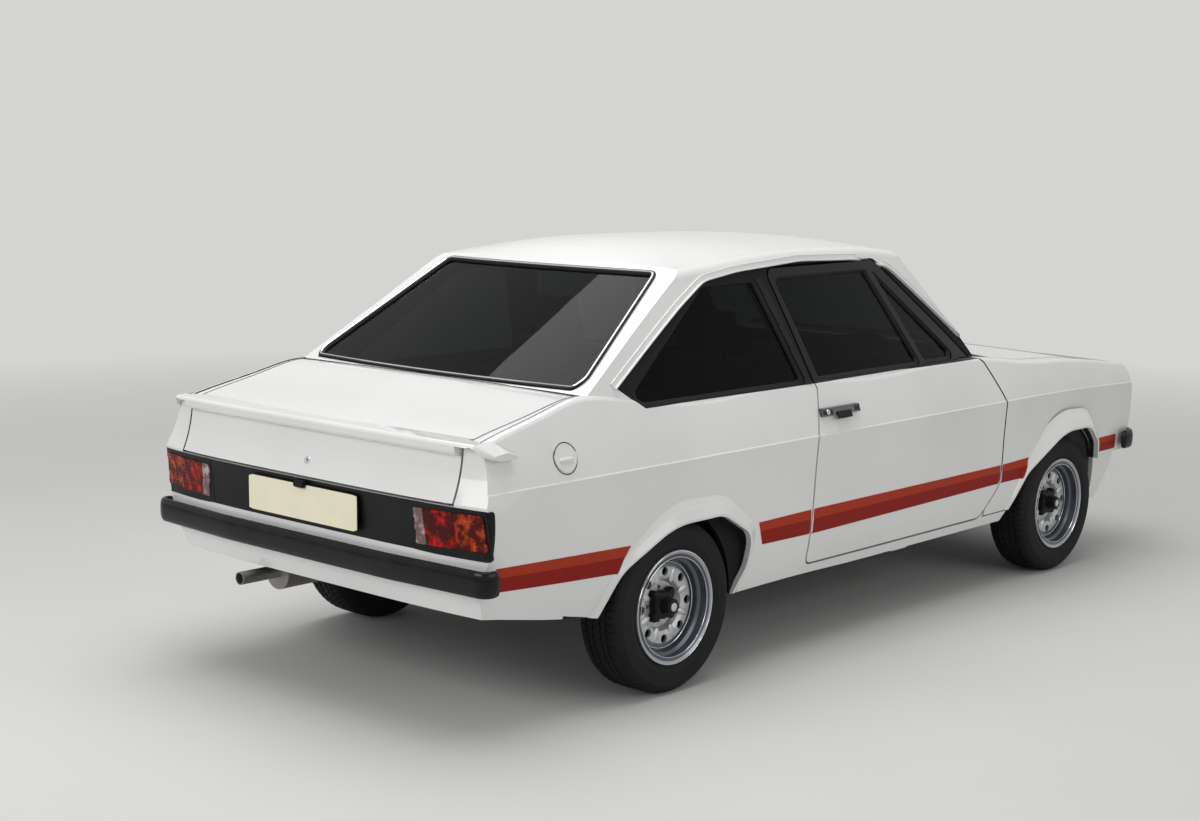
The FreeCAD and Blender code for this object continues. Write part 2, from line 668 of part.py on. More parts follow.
def block(name, low, high):
    """A plain block as a document object with its own placement."""
    item = doc.addObject("Part::Box", name)
    item.Label = name
    item.Length = high[0] - low[0]
    item.Width = high[1] - low[1]
    item.Height = high[2] - low[2]
    item.Placement = Placement(Vector(*low), Rotation())
    subparts.append(item)
    return item


block("engine_block", (front_x - 330, -160, 380), (front_x + 250, 160, 760))

# Front suspension uprights: strut, hub, disc and steering arm in one piece
RIM_FACE = -5.0
SEAT_Y = -size("track_front") / 2 + RIM_FACE + 0.5


def upright():
    low = on_strut(205)
    high = on_strut(640)
    tube = Part.makeCylinder(24, (high - low).Length, low, strut_line)
    rod = Part.makeCylinder(11, (on_strut(786) - high).Length + 5, high - strut_line * 5, strut_line)
    cup = Part.makeCylinder(58, 8, on_strut(630), strut_line)
    spring = Part.makeCylinder(48, (on_strut(780) - on_strut(634)).Length, on_strut(634), strut_line)
    stub = Part.makeCylinder(30, abs(SEAT_Y) - 560, Vector(front_x, SEAT_Y, axle_z), Vector(0, 1, 0))
    disc = Part.makeCylinder(122, 12, Vector(front_x, SEAT_Y + 26, axle_z), Vector(0, 1, 0))
    hat = Part.makeCylinder(68, 28, Vector(front_x, SEAT_Y, axle_z), Vector(0, 1, 0))
    caliper = box((front_x - 124, SEAT_Y + 12, axle_z - 42), (front_x - 70, SEAT_Y + 62, axle_z + 42))
    lever = box((front_x - 150, -568, 225), (front_x, -545, 245))
    return tube.fuse([rod, cup, spring, stub, disc, hat, caliper, lever]).removeSplitter()


knuckle = upright()
add_shape("knuckle_front_right", knuckle)
add_shape("knuckle_front_left", mirrored(knuckle))

# Rear axle with its drums, differential and leaf springs
drum_y = -size("track_rear") / 2 + RIM_FACE + 0.5
tube = Part.makeCylinder(size("axle_tube_radius"), -2 * (drum_y + 30), Vector(rear_x, drum_y + 30, axle_z),
                         Vector(0, 1, 0))
nose_piece = Part.makeSphere(118, Vector(rear_x, 0, axle_z))
pinion = Part.makeCone(95, 45, 190, Vector(rear_x + 60, 0, axle_z), Vector(1, 0, 0))
drum = Part.makeCylinder(118, 62, Vector(rear_x, drum_y, axle_z), Vector(0, 1, 0))
pad = box((rear_x - 60, -535, axle_z - 60), (rear_x + 60, -465, axle_z + 20))
leaf = side_prism([(rear_x + 450, 290, 0), (rear_x, 212, 900), (rear_x - 560, 330, 0),
                   (rear_x - 560, 350, 0), (rear_x, 236, 900), (rear_x + 450, 310, 0)], -530, -470)
eye = Part.makeCylinder(22, 60, Vector(rear_x + 450, -530, 300), Vector(0, 1, 0))
shackle = box((rear_x - 575, -528, 330), (rear_x - 545, -472, BOOT_FLOOR_Z - 0.2))
hanger_front = box((rear_x + 435, -528, 300), (rear_x + 465, -472, KICK_Z - 0.2))
axle_right = drum.fuse([pad, leaf, eye, shackle, hanger_front])
rear_axle = tube.fuse([nose_piece, pinion, axle_right, mirrored(axle_right)]).removeSplitter()
add_shape("rear_axle", rear_axle)

gearbox = Part.makeLoft([
    Part.makePolygon([Vector(x, y, z) for y, z in
                      ((-w, 430 - h), (w, 430 - h), (w, 430 + k), (-w, 430 + k), (-w, 430 - h))])
    for x, w, h, k in ((front_x - 330.5, 150, 130, 130), (front_x - 480, 110, 100, 0 - 20),
                       (front_x - 950, 70, 90, -25))], True, True)
shaft_from = Vector(front_x - 950, 0, 372)
shaft_to = Vector(rear_x + 250, 0, axle_z)
shaft = Part.makeCylinder(38, (shaft_to - shaft_from).Length, shaft_from, shaft_to - shaft_from)
gearbox = gearbox.fuse(shaft).removeSplitter().cut(pinion)
add_shape("gearbox_and_propshaft", gearbox)

pipe = tube_along([Vector(1100, 190, 340), Vector(1000, 200, 235), Vector(-500, 200, 235),
                   Vector(-700, 300, 235), Vector(-900, 330, 410), Vector(-1300, 330, 410),
                   Vector(-1500, 330, 330), Vector(tail + 20, 330, 330)], size("tube_radius"), 60)
silencer = Part.makeCylinder(60, 280, Vector(-1820, 330, 330), Vector(1, 0, 0))
tail_bore = Part.makeCylinder(size("tube_radius") - 3, 90, Vector(tail + 10, 330, 330), Vector(1, 0, 0))
exhaust = pipe.fuse([silencer]).removeSplitter().cut(tail_bore)
add_shape("exhaust", exhaust)


# Wheels: pressed deep-dish rim with eight holes in a raised ring, and tyre.
# Corners are (radius, distance from the wheel's middle), with the outer side below zero.
bead = size("bead_radius")
flange = size("flange_radius")
wall = size("rim_wall")
half_rim = size("rim_half_width")
hole_ring = size("rim_hole_ring")
barrel = bead - wall - 4
rim_corners = [
    (size("hub_bore"), RIM_FACE - 9), (74, RIM_FACE - 9), (hole_ring - 25, RIM_FACE - 27), (hole_ring - 12, RIM_FACE - 33),
    (hole_ring + 13, RIM_FACE - 33), (136, RIM_FACE - 19), (barrel - wall, RIM_FACE - 21), (barrel - wall, 36 - half_rim),
    (bead - wall, 30 - half_rim), (bead - wall, 8 - half_rim), (flange - wall, -half_rim), (flange, -half_rim),
    (flange, 6 - half_rim), (bead, 10 - half_rim), (bead, 34 - half_rim), (barrel, 40 - half_rim),
    (barrel, half_rim - 44), (bead, half_rim - 38), (bead, half_rim - 10), (flange, half_rim - 6), (flange, half_rim),
    (flange - wall, half_rim), (bead - wall, half_rim - 8), (barrel - wall, half_rim - 46), (barrel - wall, RIM_FACE - 10),
    (136, RIM_FACE - 10), (hole_ring + 13, RIM_FACE - 24), (hole_ring - 12, RIM_FACE - 24),
    (hole_ring - 25, RIM_FACE - 18), (74, RIM_FACE), (size("hub_bore"), RIM_FACE)]
TYRE_FIT = 0.5
half_tyre = size("tyre_half_width")
tyre_edge = [(bead + TYRE_FIT, half_rim - 11), (flange + 1.5, half_rim - 6.5), (250, half_tyre), (size("tyre_radius"), 66)]
tyre_corners = tyre_edge + [(r, -a) for r, a in reversed(tyre_edge)]


def turned(corners):
    """A ring whose section is given as (radius, place along its axis), turned about Y."""
    points = [Vector(r, a, 0) for r, a in corners]
    return Part.Face(Part.makePolygon(points + [points[0]])).revolve(Vector(0, 0, 0), Vector(0, 1, 0), 360)


def round_holes(radius, ring, count):
    """Holes through the rim's disc, evenly spaced on a ring."""
    hole = Part.makeCylinder(radius, 80, Vector(ring, -70, 0), Vector(0, 1, 0))
    return [hole.copy().rotate(Vector(0, 0, 0), Vector(0, 1, 0), index * 360 / count) for index in range(count)]


rim = turned(rim_corners).cut(round_holes(size("rim_hole_radius"), hole_ring, int(size("rim_holes"))))
rim = rim.cut(round_holes(7, size("stud_ring"), int(size("studs"))))
tyre = turned(tyre_corners)
for end, x, track in (("front", front_x, size("track_front")), ("rear", rear_x, size("track_rear"))):
    for side, sign in (("right", -1), ("left", 1)):
        turn = Rotation(Vector(0, 0, 1), 0 if sign < 0 else 180)
        for kind, shape in (("rim", rim), ("tyre", tyre)):
            item = add_shape("%s_%s_%s" % (kind, end, side), shape)
            item.Placement = Placement(Vector(x, sign * track / 2, axle_z), turn)

# Bumpers: a bar of rounded section bent round each corner of the car
BUMPER_BEND = 82.0
BUMPER_WALL = 22.0
BUMPER_ROUND = 16.0
BUMPER_BOW = 900.0


def bumper_wire(k, ends_x, out, slant, z, drawn_in):
    """The bar's outline from above at one height, with its outer face drawn in."""
    end = half_length - drawn_in
    y0 = half_width + out - drawn_in
    y1 = half_width + out - BUMPER_WALL
    bow = 0.5 * half_width
    back = half_length - BUMPER_WALL
    outer = [(k * ends_x, -y0, 0), (k * (end - slant), -y0, BUMPER_BEND), (k * end, -bow, BUMPER_BOW),
             (k * end, bow, BUMPER_BOW), (k * (end - slant), y0, BUMPER_BEND), (k * ends_x, y0, 0)]
    inner = [(k * ends_x, y1, 0), (k * (back - slant), y1, BUMPER_BEND - BUMPER_WALL), (k * back, bow - 2, BUMPER_BOW),
             (k * back, 2 - bow, BUMPER_BOW), (k * (back - slant), -y1, BUMPER_BEND - BUMPER_WALL), (k * ends_x, -y1, 0)]
    return rounded(outer + inner, lambda p: Vector(p.x, p.y, z))


def bumper(k, ends_x, out, slant, z_low, z_high):
    levels = [(z_low, BUMPER_ROUND * 0.8), (z_low + BUMPER_ROUND, 0), (z_high - BUMPER_ROUND, 0),
              (z_high, BUMPER_ROUND * 0.8)]
    return Part.makeLoft([bumper_wire(k, ends_x, out, slant, z, inset) for z, inset in levels], True, True)


rear_bumper = bumper(-1, 1893, 24, 26, 452, 530)
bracket = box((tail + 15, -420, 475), (tail + 60, -380, 515)).cut(lower)
rear_bumper = rear_bumper.fuse([bracket, mirrored(bracket)])
front_bar = bumper(1, 1815, -6, 52, 440, 518)
front_bumpers = front_bar.cut(box((0, -330, 0), (FAR, 330, FAR))).cut(lower)
add_shape("rear_bumper", rear_bumper)
add_shape("front_bumpers", Part.Compound([p for p in front_bumpers.Solids if p.Volume > 1e5]))

# Nose panel, grille and round headlamps
FRONT_BACK = BAY_FRONT
GRILLE_LOW = 560.0
GRILLE_HIGH = 700.0
GRILLE_Y = 440.0
BARS = 8
lamp_r = size("lamp_radius")
lamp_y = size("lamp_offset")
lamp_z = size("lamp_height")
POCKET = 7.0
PLATE_FIT = 0.5


def lamp_disc(radius, x_from, depth, side):
    return Part.makeCylinder(radius, depth, Vector(x_from, side * lamp_y, lamp_z), Vector(1, 0, 0))


front_panel = lower.common(box((FRONT_BACK, -SPLIT_Y + 7, 432), (nose + 60, SPLIT_Y - 7, BONNET_FOOT - gap)))
grille_room = box((FRONT_BACK - 10, -GRILLE_Y, GRILLE_LOW), (nose + 60, GRILLE_Y, GRILLE_HIGH))
front_panel = front_panel.cut([grille_room] + [lamp_disc(lamp_r + POCKET, FRONT_BACK - 10, 200, k) for k in (-1, 1)])
add_shape("front_panel", solid_of(front_panel))
pitch = (GRILLE_HIGH - GRILLE_LOW - 8) / BARS
bars = [box((FRONT_BACK + 20, -GRILLE_Y + 20, GRILLE_LOW + 8 + pitch * n),
            (FRONT_BACK + 44, GRILLE_Y - 20, GRILLE_LOW + 14 + pitch * n)) for n in range(BARS)]
grille_back = box((FRONT_BACK + 2, -GRILLE_Y + PLATE_FIT, GRILLE_LOW + PLATE_FIT),
                  (FRONT_BACK + 20.5, GRILLE_Y - PLATE_FIT, GRILLE_HIGH - PLATE_FIT))
lamp_backs = [lamp_disc(lamp_r + POCKET - PLATE_FIT, FRONT_BACK + 2, 18.5, k) for k in (-1, 1)]
add_shape("grille", grille_back.fuse(bars + lamp_backs).removeSplitter())
lens = []
for side in (-1, 1):
    dome = Part.makeSphere(250, Vector(FRONT_BACK + 60 - 250, side * lamp_y, lamp_z))
    lens.append(lamp_disc(lamp_r, FRONT_BACK + 21, 60, side).common(dome))
add_shape("front_lamps", Part.Compound([solid_of(piece) for piece in lens]))


def dam_wire(z, front, side_x, y_side):
    out = [Vector(side_x, -y_side, z), Vector(front - 130, -y_side, z), Vector(front - 45, -y_side + 90, z),
           Vector(front - 8, -330, z), Vector(front, 0, z)]
    whole = out + [flip(p) for p in reversed(out[:-1])]
    return Part.Wire([line(whole[0], whole[1]), spline(whole[1:-1]), line(whole[-2], whole[-1]),
                      line(whole[-1], whole[0])])


dam = Part.makeLoft([dam_wire(431.5, 1930, front_x + 330, 716), dam_wire(330, 1885, front_x + 345, 705),
                     dam_wire(240, 1835, front_x + 350, 685)], True, False)
dam_hollow = Part.makeLoft([dam_wire(440, 1912, front_x + 300, 698), dam_wire(330, 1867, front_x + 320, 687),
                            dam_wire(230, 1817, front_x + 320, 667)], True, False)
dam = dam.cut(dam_hollow).cut(front_room).cut(mirrored(front_room))
add_shape("front_air_dam", solid_of(dam))

# Boot spoiler: a thick rounded lip across the lid, running out over each shoulder
LIP_OVER = 24.0
SPOILER_END = 706.0
SPOILER_TIP = 750.0


def spoiler_wire(y):
    """The spoiler's section at y, its lip to the rear."""
    share = abs(y) / half_width
    shift = 34 * share ** 4 + 4 * share ** 2
    drop = 6 * share ** 4
    corners = [(tail + 150, belt - 40, 0), (tail + 104, belt - 12, 40), (tail + LIP_OVER, belt - 16, 13),
               (tail + LIP_OVER + 3, belt - 47, 12), (tail + 62, belt - 62, 0), (tail + 150, belt - 62, 0)]
    return rounded([(u + shift, v - drop, r) for u, v, r in corners], lambda p: Vector(p.x, y, p.y))


def spoiler_tip(y):
    """The small section in which the spoiler runs out over the shoulder."""
    corners = [(tail + 190, belt - 60, 0), (tail + 150, belt - 46, 10), (tail + 100, belt - 52, 6),
               (tail + 100, belt - 58, 5), (tail + 120, belt - 68, 0), (tail + 190, belt - 68, 0)]
    return rounded(corners, lambda p: Vector(p.x, y, p.y))


lip_stations = [0, 400, 520, 600, 660, SPOILER_END]
lip_stations = [-y for y in reversed(lip_stations[1:])] + lip_stations
sections = [spoiler_tip(-SPOILER_TIP)] + [spoiler_wire(y) for y in lip_stations] + [spoiler_tip(SPOILER_TIP)]
spoiler = Part.makeLoft(sections, True, True).cut(lower)
lift = lower_volume(tail - 90, -1600, 0, -6.5)
ends_zone = box((-FAR, -FAR, 0), (FAR, -boot_y, FAR)).fuse(box((-FAR, boot_y, 0), (FAR, FAR, FAR)))
spoiler = spoiler.cut(lift.common(ends_zone))
add_shape("rear_spoiler", solid_of(spoiler))

# Door handles and fuel cap sit on the skin
HANDLE_PROUD = 15.0
handle_band = lower_volume(-420, -60, -HANDLE_PROUD)
handle = handle_band.common(box((-346, -900, 801), (-130, -600, 827))).cut(lower)
handle = solid_of(handle)
add_shape("door_handle_right", handle)
add_shape("door_handle_left", mirrored(handle))
cap_axis = Vector(0, -math.cos(0.314), math.sin(0.314))
cap = Part.makeCylinder(46, 40, Vector(-1592, -700, 798), cap_axis).cut(lower)
cap = solid_of(cap)
add_shape("fuel_cap", cap)


# Seats, dashboard and steering wheel
SEAT_LEAN = math.radians(16)
SEAT_HALF = 225.0


def slab(x, z, length, thick, lean, y_from, y_to, radius):
    """A cushion that stands on (x, z), leans back and runs across the car."""
    up = Vector(-math.sin(lean), math.cos(lean), 0)
    fore = Vector(math.cos(lean), math.sin(lean), 0)
    foot = Vector(x, z, 0)
    spots = [foot - fore * thick / 2, foot + fore * thick / 2, foot + fore * thick / 2 + up * length,
             foot - fore * thick / 2 + up * length]
    return side_prism([(p.x, p.y, radius) for p in spots], y_from, y_to)


def front_seat(y):
    base = side_prism([(-330, 330, 45), (190, 330, 45), (190, 480, 50), (-330, 470, 45)], y - SEAT_HALF, y + SEAT_HALF)
    back = slab(-330, 450, 560, 120, SEAT_LEAN, y - SEAT_HALF, y + SEAT_HALF, 45)
    head = slab(-484, 990, 170, 80, SEAT_LEAN, y - 130, y + 130, 30)
    return base.fuse([back, head])


seats = [front_seat(-370), front_seat(370)]
rear_base = side_prism([(-930, KICK_Z + 20, 30), (-560, KICK_Z + 20, 40), (-560, KICK_Z + 140, 45),
                        (-930, KICK_Z + 130, 30)], -520, 520)
rear_back = side_prism([(CABIN_REAR + 2, KICK_Z + 110, 20), (-850, KICK_Z + 110, 20), (-860, 880, 45),
                        (CABIN_REAR + 2, 880, 40)], -520, 520)
seats.append(rear_base.fuse(rear_back))
add_shape("seats", Part.Compound([s for shape in seats for s in shape.Solids]))
dash = box((600, -600, 700), (CABIN_FRONT - 0.5, 600, 890))
add_shape("dashboard", dash.makeFillet(30, [e for e in dash.Edges if abs(e.CenterOfMass.x - 600) < 1]))
ring_corners = [(182 + 13 * math.cos(n * math.pi / 3), 13 * math.sin(n * math.pi / 3)) for n in range(6)]
ring = turned(ring_corners)
ring.rotate(Vector(0, 0, 0), Vector(1, 0, 0), 90)
boss = Part.makeCylinder(45, 40, Vector(0, 0, -20), Vector(0, 0, 1))
spoke = box((-176, -16, -4), (176, 16, 4))
column = Part.makeCylinder(22, 250, Vector(0, 0, -260), Vector(0, 0, 1))
wheel = ring.fuse([boss, spoke, column])
wheel.rotate(Vector(0, 0, 0), Vector(0, 1, 0), -62)
wheel.translate(Vector(400, -345, 830))
wheel = solid_of(wheel.cut(dash))
add_shape("steering_wheel", wheel)

doc.recompute()
for item in subparts:
    faulty = {"Invalid", "Error"} & set(item.State)
    if faulty or item.Shape.isNull() or not item.Shape.isValid():
        raise RuntimeError("%s is not sound: %s" % (item.Label, item.State))

os.makedirs("parts", exist_ok=True)
for item in subparts:
    item.Shape.exportStep(os.path.join("parts", item.Label + ".step"))
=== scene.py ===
"""Looks for a white two-door three-box rally saloon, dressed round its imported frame.

Every length is in metres. X points forward, Y to the left and Z up, and the ground is at zero.
"""
from __future__ import annotations

import json
import logging
from dataclasses import dataclass, field
from enum import Enum
from math import copysign, cos, exp, pi, radians, sin, sqrt, tan
from typing import Callable, Iterable, Sequence

import bmesh
import bpy
from mathutils import Matrix, Vector
from mathutils.bvhtree import BVHTree
from mathutils.geometry import delaunay_2d_cdt

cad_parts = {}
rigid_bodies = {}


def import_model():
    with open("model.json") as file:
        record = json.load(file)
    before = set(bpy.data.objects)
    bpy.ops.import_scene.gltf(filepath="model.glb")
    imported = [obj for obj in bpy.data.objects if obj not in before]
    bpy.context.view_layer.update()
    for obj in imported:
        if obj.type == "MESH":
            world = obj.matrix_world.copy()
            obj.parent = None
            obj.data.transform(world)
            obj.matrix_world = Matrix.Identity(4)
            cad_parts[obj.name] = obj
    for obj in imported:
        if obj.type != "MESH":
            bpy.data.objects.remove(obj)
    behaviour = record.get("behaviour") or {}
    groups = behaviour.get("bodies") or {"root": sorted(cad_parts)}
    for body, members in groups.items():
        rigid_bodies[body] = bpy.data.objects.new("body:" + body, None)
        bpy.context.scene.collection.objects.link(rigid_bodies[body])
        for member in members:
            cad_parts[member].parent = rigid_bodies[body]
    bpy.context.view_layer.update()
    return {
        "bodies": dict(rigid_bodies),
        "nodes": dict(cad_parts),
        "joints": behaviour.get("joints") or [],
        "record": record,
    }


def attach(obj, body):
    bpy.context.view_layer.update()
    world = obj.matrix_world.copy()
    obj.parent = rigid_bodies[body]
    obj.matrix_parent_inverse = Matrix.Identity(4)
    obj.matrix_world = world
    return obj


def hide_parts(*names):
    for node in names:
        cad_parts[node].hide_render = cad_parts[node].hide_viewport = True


log = logging.getLogger("saloon")

Colour = tuple[float, float, float]
Point = tuple[float, float]
Corner = tuple[float, float, float]
Line = tuple[Point, ...]
Corners = tuple[Corner, ...]
Material = bpy.types.Material
Socket = bpy.types.NodeSocket
Sockets = bpy.types.bpy_prop_collection

# The places of the axles, the height of the hubs and that of the side windows' foot.
FRONT_AXLE = 1.297
REAR_AXLE = -1.11
HUB_HEIGHT = 0.277
BELT = 0.9085
# How rough the body paint and its clear coat are.
PAINT_ROUGHNESS = 0.28
COAT_ROUGHNESS = 0.05
AHEAD = Vector((1, 0, 0))
BACK = Vector((-1, 0, 0))
UP = Vector((0, 0, 1))


class Side(Enum):
    """The two sides of the car, with the sign of Y on each."""

    RIGHT = -1
    LEFT = 1

    @property
    def word(self) -> str:
        """The side's name as the frame's nodes spell it."""
        return self.name.lower()


class View(Enum):
    """The straight directions from which an outline is drawn on the car."""

    RIGHT = "from the right"
    LEFT = "from the left"
    REAR = "from behind"
    FRONT = "from the front"
    TOP = "from above"
    INSIDE_RIGHT = "from the cabin to the right"
    INSIDE_LEFT = "from the cabin to the left"
    CORNER_RIGHT = "from behind and to the right"
    CORNER_LEFT = "from behind and to the left"

    def ray(self, u: float, v: float) -> tuple[Vector, Vector]:
        """Gives the line of sight through a point of the drawing.

        Args:
            u: the drawing's first coordinate, X seen from a side or above, Y from an end, and from a corner
                the place along the level line that crosses the sight.
            v: the drawing's second coordinate, Z, or Y seen from above.

        Returns:
            The line's start and its direction.
        """
        half = sqrt(0.5)
        return {
            View.CORNER_RIGHT: (Vector((u * half - 3, -u * half - 3, v)), Vector((half, half, 0))),
            View.CORNER_LEFT: (Vector((u * half - 3, u * half + 3, v)), Vector((half, -half, 0))),
            View.RIGHT: (Vector((u, -2, v)), Vector((0, 1, 0))),
            View.LEFT: (Vector((u, 2, v)), Vector((0, -1, 0))),
            View.REAR: (Vector((-3, u, v)), Vector((1, 0, 0))),
            View.FRONT: (Vector((3, u, v)), Vector((-1, 0, 0))),
            View.TOP: (Vector((u, v, 3)), Vector((0, 0, -1))),
            View.INSIDE_RIGHT: (Vector((u, -0.3, v)), Vector((0, -1, 0))),
            View.INSIDE_LEFT: (Vector((u, 0.3, v)), Vector((0, 1, 0))),
        }[self]


def side_view(side: Side) -> View:
    """The view of one side of the car from outside."""
    return View.RIGHT if side is Side.RIGHT else View.LEFT


def corner_view(side: Side) -> View:
    """The view of one rear corner of the car."""
    return View.CORNER_RIGHT if side is Side.RIGHT else View.CORNER_LEFT


def cabin_view(side: Side) -> View:
    """The view of one side of the car from the cabin."""
    return View.INSIDE_RIGHT if side is Side.RIGHT else View.INSIDE_LEFT


class Shader:
    """One node material under construction, with short calls for the nodes it needs."""

    def __init__(self, name: str) -> None:
        """Starts a material with a single principled shader.

        Args:
            name: the material's name.
        """
        self.material = bpy.data.materials.new(name)
        self.material.use_nodes = True
        self.tree = self.material.node_tree
        self.body = self.tree.nodes["Principled BSDF"]

    def set(self, **values: object) -> None:
        """Sets sockets of the principled shader, with underscores for the spaces in their names."""
        for name, value in values.items():
            self.body.inputs[name.replace("_", " ")].default_value = value

    def link(self, source: object, name: str) -> None:
        """Joins a socket to one of the principled shader's inputs."""
        self.tree.links.new(source, self.body.inputs[name])

    def node(self, kind: str, **links: object) -> bpy.types.Node:
        """Adds a node and joins or sets its inputs.

        Args:
            kind: the node's type name without its usual beginning.
            links: input names with a socket or a plain value; other names are the node's own settings.

        Returns:
            The new node.
        """
        made = self.tree.nodes.new("ShaderNode" + kind)
        for name, value in links.items():
            label = name.replace("_", " ")
            if label in made.inputs:
                if isinstance(value, Socket):
                    self.tree.links.new(value, made.inputs[label])
                else:
                    made.inputs[label].default_value = value
            else:
                setattr(made, name, value)
        return made

    def place(self) -> Socket:
        """The position on the piece, in the piece's own axes."""
        return self.node("TexCoord").outputs["Object"]

    def axes(self, source: Socket) -> Sockets:
        """Splits a vector into X, Y and Z."""
        return self.node("SeparateXYZ", Vector=source).outputs

    def noise(self, scale: float, detail: float = 2.0, stretch: Sequence[float] = (1, 1, 1)) -> Socket:
        """A cloud pattern on the piece.

        Args:
            scale: how many clouds fit into a metre.
            detail: how many finer layers it has.
            stretch: the scale along each axis.

        Returns:
            The pattern's value socket.
        """
        mapped = self.node("Mapping", Vector=self.place(), Scale=stretch)
        return self.node("TexNoise", Vector=mapped.outputs[0], Scale=scale, Detail=detail).outputs["Fac"]

    def maths(self, operation: str, first: object, second: object = 0.0) -> Socket:
        """Does one sum on two sockets or numbers.

        Args:
            operation: the sum's name.
            first: a socket or a number.
            second: a socket or a number.

        Returns:
            The result's socket.
        """
        made = self.node("Math", operation=operation)
        for index, value in enumerate((first, second)):
            if isinstance(value, Socket):
                self.tree.links.new(value, made.inputs[index])
            else:
                made.inputs[index].default_value = value
        return made.outputs[0]

    def ramp(self, source: Socket, stops: Sequence[tuple[float, Colour]]) -> Socket:
        """Turns a value into a colour that runs through the given stops.

        Args:
            source: the value's socket.
            stops: (value, colour) in rising order.

        Returns:
            The colour's socket.
        """
        made = self.node("ValToRGB", Fac=source)
        elements = made.color_ramp.elements
        while len(elements) < len(stops):
            elements.new(0.5)
        for element, (at, colour) in zip(elements, stops):
            element.position = at
            element.color = (*colour, 1)
        return made.outputs[0]

    def blend(self, share: Socket, first: object, second: object) -> Socket:
        """Mixes two colours, sockets or plain, by a share from 0 to 1.

        Args:
            share: the share's socket.
            first: the colour at 0.
            second: the colour at 1.

        Returns:
            The mixed colour's socket.
        """
        made = self.node("Mix", data_type="RGBA")
        self.tree.links.new(share, made.inputs[0])
        for index, value in ((6, first), (7, second)):
            if isinstance(value, Socket):
                self.tree.links.new(value, made.inputs[index])
            else:
                made.inputs[index].default_value = (*value, 1)
        return made.outputs[2]

    def bump(self, height: Socket, depth: float, strength: float = 1.0) -> None:
        """Raises the surface by a pattern, to a depth in metres."""
        made = self.node("Bump", Height=height, Distance=depth, Strength=strength)
        self.link(made.outputs[0], "Normal")

    def paint(self, colour: Colour) -> Socket:
        """Gives faint orange peel, and a paint colour under a breath of dust.

        Args:
            colour: the clean colour.

        Returns:
            The colour's socket.
        """
        self.set(Coat_Roughness=COAT_ROUGHNESS)
        self.bump(self.noise(420, 1.0), 0.00012, 0.35)
        dusty = tuple(channel * 0.95 for channel in colour)
        return self.ramp(self.noise(2.2, 4.0), [(0.35, dusty), (0.65, colour)])

    def two_tone(self, share: Socket, colour: Colour, other: object, roughness: float) -> None:
        """Gives coated paint where a share is 0 and a bare finish where it is 1.

        Args:
            share: the share's socket.
            colour: the paint's colour.
            other: the bare finish's colour, a socket or plain.
            roughness: the bare finish's roughness.
        """
        self.link(self.blend(share, self.paint(colour), other), "Base Color")
        for name, low, high in (("Roughness", PAINT_ROUGHNESS, roughness), ("Coat Weight", 0.8, 0.0)):
            self.link(self.node("MapRange", Value=share, To_Min=low, To_Max=high).outputs[0], name)
        self.set(Specular_IOR_Level=0.2)


@dataclass(frozen=True)
class Paint:
    """Gloss body paint with a clear coat, faint orange peel and a breath of dust."""

    name: str
    colour: Colour

    def build(self) -> Material:
        """Makes the material.

        Returns:
            The material.
        """
        made = Shader(self.name)
        made.set(Roughness=PAINT_ROUGHNESS, Coat_Weight=1.0)
        made.link(made.paint(self.colour), "Base Color")
        return made.material


@dataclass(frozen=True)
class TwoPaint:
    """Body paint outside and another finish where a plain rule of place or facing says so."""

    name: str
    colour: Colour
    other: Colour
    other_roughness: float
    height: float | None = None
    downward: float = -0.25

    def build(self) -> Material:
        """Makes the material.

        Returns:
            Paint below `height` and the other finish above it, or without a height paint outside and the
            other finish on the faces that look down.
        """
        made = Shader(self.name)
        if self.height:
            share = made.maths("GREATER_THAN", made.axes(made.place())["Z"], self.height)
        else:
            facing = made.axes(made.node("NewGeometry").outputs["Normal"])
            share = made.maths("LESS_THAN", facing["Z"], self.downward)
        shaded = tuple(channel * 0.8 for channel in self.other)
        dark = made.ramp(made.noise(900, 2.0), [(0.3, shaded), (0.7, self.other)])
        made.two_tone(share, self.colour, dark, self.other_roughness)
        return made.material


